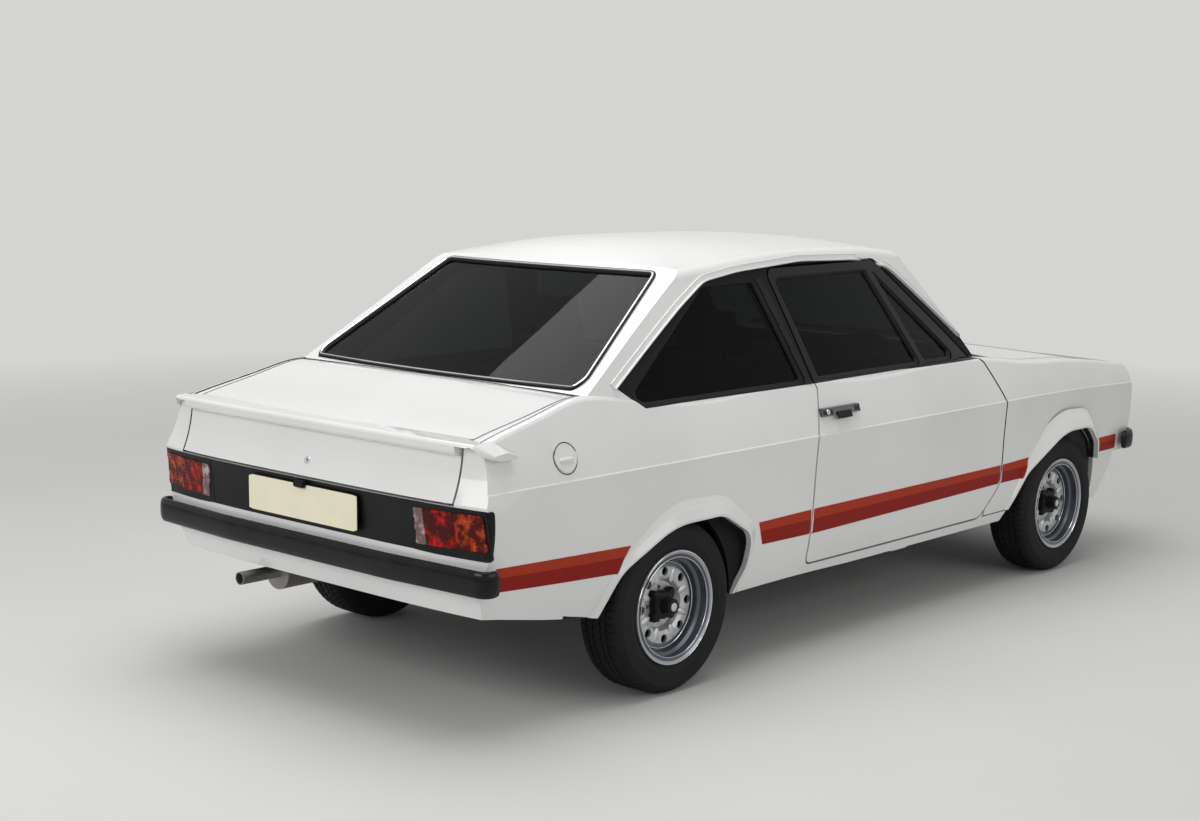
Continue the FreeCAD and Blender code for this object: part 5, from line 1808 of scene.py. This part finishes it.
def plan_bar(line: Sequence[Point], level: float, half_height: float, half_depth: float, end: int) -> Draft:
    """A bar of rounded section along a line seen from above, at one level.

    Args:
        line: the line, from the right side of the car to the left.
        level: the height of its middle.
        half_height: half its height.
        half_depth: half its depth.
        end: 1 at the front of the car and -1 at the rear.

    Returns:
        The mesh, with both ends rounded.
    """
    path = [Vector((x, y, level)) for x, y in line]
    last = len(path) - 1
    normals = []
    for index in range(len(path)):
        along = (path[min(index + 1, last)] - path[max(index - 1, 0)]).normalized()
        normals.append(along.cross(UP) * end)
    profile = []
    for wide, high in circle(24):
        a = copysign(abs(high) ** 0.75, high) * half_height
        b = (copysign(abs(wide) ** 0.9, wide) if wide > 0 else wide * 0.85) * half_depth
        profile.append((a, b))
    length = sum((b - a).length for a, b in zip(path, path[1:]))
    return sweep(path, normals, profile, False, rounded_end(length, 0.022))


@dataclass
class SideTrim:
    """The fittings of the door's handle on one side of the car, and on the right those of the fuel cap."""

    shop: Workshop
    side: Side
    rear_cover: Corners = (
        (-0.3462, 0.8005, 0.003), (-0.29, 0.8005, 0.001), (-0.29, 0.8275, 0.001), (-0.3462, 0.8275, 0.003))
    front_cover: Corners = (
        (-0.16, 0.8005, 0.001), (-0.1298, 0.8005, 0.01), (-0.1298, 0.8275, 0.01), (-0.16, 0.8275, 0.001))
    barrel: Line = ((0.009, 0.0), (0.009, 0.003), (0.008, 0.0042), (0.004, 0.0042))
    filler_at: Point = (-1.592, 0.805)

    def build(self) -> None:
        """Dresses the side."""
        self.handle()
        if self.side is Side.RIGHT:
            self.filler()

    def handle(self) -> None:
        """Adds the black covers, the lock and the pull flap to the door's handle."""
        word, sign = self.side.word, self.side.value
        skin = Skin(self.shop, ["door_handle_" + word])
        body = "door_" + word
        for label, corners in (("rear", self.rear_cover), ("front", self.front_cover)):
            cover = skin.patch(side_view(self.side), rounded(corners, 0.004), 0.005, 0.0012, 0.002)
            self.shop.piece(f"handle_{label}_{word}", cover, "plastic", body, slot="grille_black")
        spot, normal = skin.hit(side_view(self.side), -0.318, 0.814)
        self.shop.piece("handle_lock_" + word, disc(spot, normal, self.barrel, 32), "bright", body)
        slot = block((spot.x - 0.0045, -0.0006, spot.z - 0.0008), (spot.x + 0.0045, 0.0006, spot.z + 0.0008))
        shift = Matrix.Translation((0, spot.y + normal.y * 0.0042, normal.z * 0.0042))
        self.shop.piece("handle_slot_" + word, slot.moved(shift), "matt_black", body)
        spot, normal = skin.hit(side_view(self.side), -0.228, 0.806)
        flap = block((-0.042, -0.002, -0.02), (0.042, 0.002, 0.006))
        lean = Matrix.Translation(spot + normal * 0.002) @ Matrix.Rotation(0.35 * sign, 4, "X")
        self.shop.piece("handle_flap_" + word, flap.moved(lean), "satin_black", body, bevel=0.0016)

    def filler(self) -> None:
        """Draws the dark ring round the fuel cap and its finger ridge."""
        skin = Skin(self.shop, ["fuel_cap", "body_side_right"])
        x, z = self.filler_at
        ring = [(x + 0.0475 * c, z + 0.0455 * s) for c, s in circle(72)]
        places, normals = skin.path(View.RIGHT, ring, True)
        groove = [(-0.0014, -0.002), (-0.0014, 0.0008), (0.0014, 0.0008), (0.0014, -0.002)]
        self.shop.piece("filler_ring", sweep(places, normals, groove, True), "rubber")
        line = [(x - 0.03 + 0.003 * k, z - 0.004) for k in range(21)]
        places, normals = skin.path(View.RIGHT, line, False)
        ridge = [(0.0085 * cos(k * pi / 6), 0.009 * sin(k * pi / 6) - 0.001) for k in range(7)]
        bar = sweep(places, normals, ridge, False, rounded_end(0.06, 0.012))
        self.shop.piece("filler_ridge", bar, "paint", sharp=60)


@dataclass
class FrontEnd:
    """Headlamps, indicators, quarter bumpers and wipers."""

    shop: Workshop
    lamp: Corner = (1.905, 0.515, 0.63)
    bumper_level: float = 0.479
    bumper_line: Corners = (
        (1.815, -0.746, 0), (1.926, -0.746, 0.071), (1.969, -0.445, 0.5), (1.979, -0.33, 0))
    indicator_y: Point = (0.445, 0.56)
    indicator_z: Point = (0.362, 0.404)
    pivots: Point = (-0.4, 0.04)
    bowl: Line = (
        (0.083, 0.0), (0.083, 0.019), (0.078, 0.019), (0.07, 0.012), (0.055, 0.007), (0.035, 0.004),
        (0.014, 0.003), (0.013, 0.013), (0.004, 0.015))
    dome: Line = (
        (0.0782, 0.0192), (0.0782, 0.0235), (0.07, 0.0285), (0.055, 0.0335), (0.035, 0.0365), (0.014, 0.038),
        (0.003, 0.0382))
    rim: Line = (
        (0.0778, 0.018), (0.0785, 0.0262), (0.0805, 0.0285), (0.0832, 0.0268), (0.085, 0.02), (0.085, 0.0),
        (0.0835, 0.0), (0.0835, 0.018))

    def build(self) -> None:
        """Dresses the nose."""
        for side in Side:
            self.headlamp(side)
            self.bumper(side)
            self.indicator(side)
        for number, y in enumerate(self.pivots):
            self.wiper(number, y)

    def headlamp(self, side: Side) -> None:
        """Stands for one lamp with a bowl, a ribbed domed glass and a bright rim.

        Args:
            side: its side of the car.
        """
        x, y, z = self.lamp
        at = Vector((x, y * side.value, z))
        for label, draft, finish in (("bowl", disc(at, AHEAD, self.bowl, 64), "reflector"),
                                     ("glass", disc(at, AHEAD, self.dome, 64), "lamp_glass"),
                                     ("rim", hoop(at, AHEAD, self.rim, 96), "bright")):
            made = self.shop.piece(f"headlamp_{label}_{side.word}", draft, finish, sharp=50)
            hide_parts("front_lamps")

    def bumper(self, side: Side) -> None:
        """Wraps one black bar of rounded section round the corner, on its short arm.

        Args:
            side: its side of the car.
        """
        bar = plan_bar(rounded(self.bumper_line, 0.012, closed=False), self.bumper_level, 0.0395, 0.0125, 1)
        bar.join(block((1.9, -0.44, 0.462), (1.968, -0.405, 0.496)))
        if side is Side.LEFT:
            bar = bar.mirrored()
        made = self.shop.piece("bumper_bar_front_" + side.word, bar, "gloss_black", sharp=50)
        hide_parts("front_bumpers")

    def indicator(self, side: Side) -> None:
        """Sets one amber lens in its black seat below the bumper.

        Args:
            side: its side of the car.
        """
        skin = Skin(self.shop, ["front_air_dam", "front_panel"])
        near, far = sorted(y * side.value for y in self.indicator_y)
        low, high = self.indicator_z
        for label, grow, lift, depth, finish in (("seat", 0.006, 0.003, 0.004, "satin_black"),
                                                 ("lens", 0.0, 0.009, 0.007, "indicator")):
            corners = [(near - grow, low - grow, 0.01), (far + grow, low - grow, 0.01),
                       (far + grow, high + grow, 0.01), (near - grow, high + grow, 0.01)]
            sheet = skin.patch(View.FRONT, rounded(corners, 0.006), 0.01, lift, depth)
            self.shop.piece(f"indicator_{label}_{side.word}", sheet, finish)

    def wiper(self, number: int, y: float) -> None:
        """Parks one wiper along the foot of the windscreen, its blade towards the left.

        Args:
            number: its number, from the right.
            y: where its spindle stands across the car.
        """
        skin = Skin(self.shop, ["windscreen"])
        line = [(y + 0.02 + 0.014 * k, 0.956 + 0.0002 * k) for k in range(29)]
        places, normals = skin.path(View.FRONT, line, False)
        section = [(-0.003, 0.0008), (-0.005, 0.013), (0.005, 0.013), (0.003, 0.0008)]
        blade = sweep(places, normals, section, False)
        foot, up = Skin(self.shop, ["bulkhead_and_scuttle"]).hit(View.TOP, 0.868, y)
        middle = places[14] + normals[14] * 0.018
        spindle = [(0.015, 0.0), (0.015, 0.01), (0.011, 0.018), (0.004, 0.02)]
        blade.join(disc(foot - up * 0.001, up, spindle, 24))
        blade.join(rod([foot + up * 0.014, foot + up * 0.026 + Vector((-0.01, 0.05, 0.006)), middle], 0.0035))
        blade.join(block(middle - Vector((0.006, 0.02, 0.007)), middle + Vector((0.006, 0.02, 0.004))))
        self.shop.piece(f"wiper_{number + 1}", blade, "satin_black", sharp=40)


@dataclass
class Cabin:
    """Padded seats, door cards, the dash fittings and the controls."""

    shop: Workshop
    seat_y: float = 0.37
    seat_lean: float = radians(16)
    flutes: tuple[float, ...] = (-0.135, -0.045, 0.045, 0.135)
    rear_flutes: tuple[float, ...] = (-0.39, -0.26, -0.13, 0.0, 0.13, 0.26, 0.39)
    fullness: float = 0.6
    wheel_y: float = -0.345
    dash_x: float = 0.6
    gaiter: Line = ((0.06, 0.0), (0.058, 0.01), (0.044, 0.016), (0.036, 0.03), (0.024, 0.036), (0.014, 0.058))

    def build(self) -> None:
        """Dresses the cabin."""
        for side in Side:
            self.front_seat(side)
            self.door_card(side)
        self.rear_seat()
        self.dash()
        self.controls()
        self.mirror()

    def pad(self, name: str, draft: Draft) -> None:
        """Makes one padded piece of the seats.

        Args:
            name: its name.
            draft: its mesh.
        """
        made = self.shop.piece(name, draft, "cloth", sharp=80)
        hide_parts("seats")

    def front_seat(self, side: Side) -> None:
        """Pads one front seat and sets it on its runners, with the head restraint on two posts.

        Args:
            side: its side of the car.
        """
        word, y = side.word, self.seat_y * side.value
        base = cushion((0.258, 0.222, 0.072), 0.048, 0.016, self.flutes)
        self.pad("seat_base_" + word, base.moved(Matrix.Translation((-0.07, y, 0.405))))
        back_at, head_at = Vector((-0.407, y, 0.719)), Vector((-0.507, y, 1.072))
        back = cushion((0.278, 0.222, 0.058), 0.045, 0.014, self.flutes)
        self.pad("seat_back_" + word, back.moved(standing(back_at, self.seat_lean)))
        head = cushion((0.083, 0.128, 0.04), 0.034, 0.008)
        self.pad("head_rest_" + word, head.moved(standing(head_at, self.seat_lean)))
        up = Vector((-sin(self.seat_lean), 0, cos(self.seat_lean)))
        posts, runners = Draft(), Draft()
        for across in (-0.055, 0.055):
            shift = Vector((0, across, 0))
            posts.join(rod([back_at + up * 0.24 + shift, head_at - up * 0.05 + shift], 0.0055))
        for across in (-0.15, 0.15):
            runners.join(block((-0.28, y + across - 0.011, 0.286), (0.16, y + across + 0.011, 0.318)))
            runners.join(block((-0.24, y + across - 0.016, 0.316), (0.1, y + across + 0.016, 0.345)))
        self.shop.piece("seat_posts_" + word, posts, "bright")
        self.shop.piece("seat_runners_" + word, runners, "chassis", bevel=0.002)

    def rear_seat(self) -> None:
        """Pads the bench and its back."""
        base = cushion((0.178, 0.512, 0.058), 0.045, 0.014, self.rear_flutes)
        self.pad("rear_bench", base.moved(Matrix.Translation((-0.745, 0, 0.52))))
        back = cushion((0.16, 0.512, 0.046), 0.04, 0.01, self.rear_flutes)
        self.pad("rear_back", back.moved(standing((-0.905, 0, 0.716), 0.12)))

    def door_card(self, side: Side) -> None:
        """Lines one door, with an armrest, a window winder and a release.

        Args:
            side: its side of the car.
        """
        word, sign = side.word, side.value
        skin, view, body = Skin(self.shop, ["door_" + word]), cabin_view(side), "door_" + word
        corners = [(-0.335, 0.42, 0.05), (0.7, 0.42, 0.05), (0.74, 0.86, 0.03), (-0.3, 0.86, 0.03)]

        def flutes(u: float, v: float) -> float:
            """The height of the sewn flutes at a drawn place."""
            return 0.0025 * abs(sin(u * pi / 0.075)) if 0.52 < v < 0.74 else 0.0

        card = skin.patch(view, rounded(corners, 0.02), 0.022, 0.0055, 0.005, flutes)
        self.shop.piece("door_card_" + word, card, "vinyl", body, sharp=60)
        spot, _ = skin.hit(view, 0.05, 0.63)
        rest = block((-0.12, -0.022, -0.018), (0.16, 0.028, 0.02))
        turn = Matrix.Scale(-sign, 4, (0, 1, 0))
        placed = rest.moved(Matrix.Translation((0.05, spot.y - sign * 0.026, 0.63)) @ turn)
        self.shop.piece("armrest_" + word, placed, "vinyl", body, bevel=0.01)
        inward = Vector((0, -sign, 0))
        hub, _ = skin.hit(view, 0.4, 0.6)
        winder = disc(hub, inward, [(0.022, 0.0), (0.022, 0.014), (0.016, 0.022), (0.005, 0.024)], 32)
        elbow = hub + inward * 0.018
        winder.join(rod([elbow, elbow + Vector((-0.075, 0, -0.045)) + inward * 0.006], 0.0055))
        knob = elbow + Vector((-0.075, 0, -0.045)) + inward * 0.004
        winder.join(disc(knob, inward, [(0.01, 0.0), (0.012, 0.012), (0.012, 0.022), (0.006, 0.028)], 24))
        latch, _ = skin.hit(view, 0.36, 0.74)
        winder.join(disc(latch, inward, [(0.026, 0.0), (0.026, 0.008), (0.02, 0.012), (0.006, 0.012)], 32))
        winder.join(rod([latch + inward * 0.016, latch + inward * 0.02 + Vector((-0.06, 0, 0))], 0.006))
        self.shop.piece("door_fittings_" + word, winder, "bright", body, sharp=40)

    def dash(self) -> None:
        """Adds the hooded binnacle with its dials, the end vents and the lid of the tray."""
        x, y = self.dash_x, self.wheel_y
        hood = block((x - 0.03, y - 0.185, 0.792), (x + 0.06, y + 0.185, 0.902))
        self.shop.piece("dash_hood", hood, "plastic", bevel=0.012)
        rings, faces, marks = Draft(), Draft(), Draft()
        for across, radius in ((-0.105, 0.046), (0.0, 0.03), (0.105, 0.046)):
            at = Vector((x - 0.03, y + across, 0.848))
            ring = [(radius, 0.0), (radius, 0.007), (radius - 0.004, 0.007), (radius - 0.006, 0.0)]
            rings.join(hoop(at, BACK, ring, 48))
            faces.join(disc(at, BACK, [(radius - 0.004, 0.0), (radius - 0.004, 0.0015), (0.004, 0.002)], 48))
            for tick in range(11):
                turn = Matrix.Rotation(radians(-120 + 24 * tick), 4, "X")
                mark = block((-0.0006, -0.0008, radius - 0.015), (0.0, 0.0008, radius - 0.008))
                marks.join(mark.moved(Matrix.Translation(at + BACK * 0.0022) @ turn))
            needle = block((-0.0008, -0.0009, -0.006), (0.0, 0.0009, radius - 0.014))
            marks.join(needle.moved(Matrix.Translation(at + BACK * 0.0034) @ Matrix.Rotation(-1.9, 4, "X")))
        self.shop.piece("dial_rings", rings, "bright")
        self.shop.piece("dial_faces", faces, "matt_black", slot="dash_plastic", sharp=20)
        self.shop.piece("dial_marks", marks, "dial", sharp=20)
        vents = Draft()
        for middle, half in ((-0.568, 0.022), (0.568, 0.022), (0.0, 0.1)):
            for slat in range(5):
                low = 0.795 + 0.014 * slat
                vents.join(block((x - 0.006, middle - half, low), (x + 0.004, middle + half, low + 0.006)))
        self.shop.piece("dash_vents", vents, "satin_black", slot="dash_plastic", bevel=0.0012)
        lid = block((x - 0.008, 0.15, 0.722), (x + 0.004, 0.5, 0.8))
        turned_knob = [(0.011, 0.0), (0.009, 0.006), (0.011, 0.012), (0.004, 0.013)]
        knob = disc(Vector((x - 0.008, 0.325, 0.785)), BACK, turned_knob, 24)
        self.shop.piece("dash_lid", lid, "vinyl", bevel=0.004)
        self.shop.piece("dash_knob", knob, "bright")

    def controls(self) -> None:
        """Stands the gear lever, the handbrake and the pedals in place."""
        top = 0.4415
        gaiter = disc(Vector((0.15, 0, top)), UP, self.gaiter, 40)
        self.shop.piece("gear_gaiter", gaiter, "vinyl", sharp=60)
        levers = rod([(0.15, 0, top + 0.04), (0.125, 0, 0.58), (0.1, 0, 0.645)], 0.006)
        levers.join(rod([(-0.21, 0, top - 0.004), (-0.15, 0, 0.47), (0.0, 0, 0.525)], 0.009))
        self.shop.piece("levers", levers, "bright")
        ball = [(max(0.002, 0.021 * sin(k * pi / 12)), -0.021 * cos(k * pi / 12)) for k in range(13)]
        knobs = disc(Vector((0.096, 0, 0.656)), UP, ball, 32)
        grip = Vector((0.15, 0, 0.055)).normalized()
        handle = [(0.012, 0.0), (0.014, 0.01), (0.014, 0.1), (0.01, 0.112)]
        knobs.join(disc(Vector((-0.07, 0, 0.499)), grip, handle, 24))
        self.shop.piece("lever_grips", knobs, "plastic", sharp=60)
        pedals = Draft()
        for across in (-0.095, 0.0, 0.095):
            y = self.wheel_y + across
            pedals.join(rod([(0.7, y, 0.705), (0.69, y, 0.56), (0.63, y, 0.4)], 0.006))
            pedals.join(block((0.612, y - 0.026, 0.368), (0.63, y + 0.026, 0.418)))
        self.shop.piece("pedals", pedals, "matt_black", slot="dash_plastic", sharp=50)

    def mirror(self) -> None:
        """Hangs the driving mirror from the head of the windscreen."""
        spot, _ = Skin(self.shop, ["windscreen"]).hit(View.REAR, 0.0, 1.285)
        head = spot + Vector((-0.055, 0, -0.045))
        shell = block(head + Vector((0.0, -0.115, -0.028)), head + Vector((0.018, 0.115, 0.028)))
        self.shop.piece("mirror_shell", shell, "plastic", bevel=0.007)
        face = block(head + Vector((-0.0012, -0.108, -0.021)), head + Vector((0.0008, 0.108, 0.021)))
        self.shop.piece("mirror_face", face, "bright", bevel=0.0005)
        stalk = rod([spot + Vector((-0.001, 0, 0)), spot + Vector((-0.02, 0, -0.006)),
                     head + Vector((0.012, 0, 0.01))], 0.005)
        self.shop.piece("mirror_stalk", stalk, "bright")


@dataclass
class EngineBay:
    """What dresses the plain engine and the bay round it."""

    shop: Workshop
    head: float = 0.76
    cover_length: Point = (1.03, 1.45)
    pan: Line = (
        (0.095, 0.0), (0.112, 0.006), (0.114, 0.03), (0.114, 0.048), (0.104, 0.058), (0.04, 0.062),
        (0.012, 0.062), (0.01, 0.07), (0.004, 0.071))
    drum: Line = (
        (0.06, 0.0), (0.098, 0.016), (0.104, 0.03), (0.104, 0.05), (0.094, 0.064), (0.04, 0.076),
        (0.018, 0.078), (0.018, 0.15), (0.006, 0.152))
    pot: Line = ((0.02, 0.0), (0.024, 0.01), (0.024, 0.05), (0.027, 0.052), (0.027, 0.066), (0.02, 0.07))

    def build(self) -> None:
        """Dresses the bay."""
        self.cover()
        self.air_cleaner()
        self.radiator()
        self.battery()
        self.brake_servo()

    def cover(self) -> None:
        """Sets the rocker cover on the engine, with its bolts and filler cap, and the leads along it."""
        rear, fore = self.cover_length
        draft = block((rear - 0.012, -0.112, self.head - 0.002), (fore + 0.012, 0.112, self.head + 0.01))
        draft.join(block((rear, -0.098, self.head + 0.008), (fore, 0.098, self.head + 0.066)))
        self.shop.piece("rocker_cover", draft, "alloy", bevel=0.008)
        cap = [(0.026, 0.0), (0.026, 0.014), (0.02, 0.02), (0.006, 0.021)]
        caps = disc(Vector((rear + 0.08, 0, self.head + 0.064)), UP, cap, 32)
        for k in range(5):
            for across in (-0.105, 0.105):
                spot = Vector((rear + 0.02 + k * (fore - rear - 0.04) / 4, across, self.head + 0.008))
                caps.join(disc(spot, UP, [(0.006, 0.0), (0.006, 0.006), (0.004, 0.007)], 6))
        self.shop.piece("rocker_cap_and_bolts", caps, "satin_black", sharp=30)
        leads = Draft()
        for k in range(4):
            x = rear + 0.09 + k * 0.08
            leads.join(rod([(x, -0.158, 0.7), (x, -0.19, 0.735), (x + 0.02, -0.13, 0.8),
                            (1.3, -0.108, 0.806)], 0.0035, 0.03, 8))
        self.shop.piece("plug_leads", leads, "rubber")

    def air_cleaner(self) -> None:
        """Sets the round air cleaner on the carburettor at the engine's left side."""
        pan = disc(Vector((1.075, 0.265, 0.776)), UP, self.pan, 64)
        self.shop.piece("air_cleaner", pan, "satin_black", sharp=30)
        carb = block((1.02, 0.15, 0.69), (1.13, 0.25, 0.73))
        carb.join(block((1.04, 0.215, 0.7), (1.11, 0.3, 0.778)))
        self.shop.piece("carburettor", carb, "alloy", bevel=0.005)

    def radiator(self) -> None:
        """Hangs the radiator from a bar between the inner panels, with its cap and top hose."""
        self.shop.piece("radiator_core", block((1.768, -0.235, 0.42), (1.806, 0.235, 0.72)), "fins",
                        bevel=0.002)
        frame = block((1.762, -0.245, 0.715), (1.812, 0.245, 0.768))
        frame.join(block((1.78, -0.344, 0.735), (1.8, 0.344, 0.76)))
        frame.join(block((1.762, -0.245, 0.4), (1.812, 0.245, 0.425)))
        self.shop.piece("radiator_tanks", frame, "gloss_black", slot="chassis_paint", bevel=0.004)
        cap = disc(Vector((1.787, 0.17, 0.766)), UP,
                   [(0.022, 0.0), (0.022, 0.01), (0.016, 0.014), (0.004, 0.015)], 32)
        self.shop.piece("radiator_cap", cap, "bright")
        hose = rod([(1.54, 0.05, 0.7), (1.61, 0.05, 0.735), (1.7, 0.1, 0.742), (1.77, 0.13, 0.742)],
                   0.018, 0.05, 20)
        self.shop.piece("top_hose", hose, "rubber")
        fan = disc(Vector((1.546, 0, 0.6)), AHEAD,
                   [(0.045, 0.0), (0.045, 0.04), (0.03, 0.05), (0.006, 0.052)], 32)
        for blade in range(6):
            leaf = block((0.0, -0.022, 0.035), (0.003, 0.022, 0.145)).moved(Matrix.Rotation(0.45, 4, "Z"))
            turn = Matrix.Translation((1.582, 0, 0.6)) @ Matrix.Rotation(blade * pi / 3, 4, "X")
            fan.join(leaf.moved(turn))
        self.shop.piece("fan", fan, "steel", slot="iron", sharp=40)

    def battery(self) -> None:
        """Stands the battery on a tray beside the inner panel."""
        tray = block((0.896, 0.346, 0.648), (1.105, 0.52, 0.66))
        self.shop.piece("battery_tray", tray, "chassis", bevel=0.002)
        self.shop.piece("battery_case", block((0.912, 0.362, 0.659), (1.092, 0.506, 0.806)), "plastic",
                        slot="grille_black", bevel=0.006)
        self.shop.piece("battery_lid", block((0.91, 0.36, 0.802), (1.094, 0.508, 0.82)), "case", bevel=0.004)
        posts = Draft()
        for x in (0.945, 1.06):
            post = [(0.01, 0.0), (0.009, 0.014), (0.004, 0.015)]
            posts.join(disc(Vector((x, 0.395, 0.818)), UP, post, 20))
        self.shop.piece("battery_posts", posts, "alloy")

    def brake_servo(self) -> None:
        """Bolts the round servo and the fluid cylinder to the bulkhead before the driver."""
        at = Vector((0.896, -0.462, 0.715))
        drum = disc(at, AHEAD, self.drum, 64)
        self.shop.piece("brake_servo", drum, "satin_black", sharp=30)
        pot = disc(at + Vector((0.115, 0, 0.014)), UP, self.pot, 32)
        self.shop.piece("brake_fluid_pot", pot, "case", sharp=40)


def main() -> None:
    """Builds the whole scene in order."""
    logging.basicConfig(level=logging.INFO, format="%(message)s")
    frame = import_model()
    shop = Workshop(frame)
    Studio().build()
    BodyShell(shop).build()
    Glazing(shop).build()
    for end, x, y in (("front", FRONT_AXLE, 0.664), ("rear", REAR_AXLE, 0.675)):
        for side in Side:
            Wheel(shop, end, side, Vector((x, y * side.value, HUB_HEIGHT))).build()
    TailEnd(shop).build()
    for side in Side:
        SideTrim(shop, side).build()
    FrontEnd(shop).build()
    Cabin(shop).build()
    EngineBay(shop).build()
    log.info("%d pieces", shop.count)


if __name__ == "__main__":
    main()
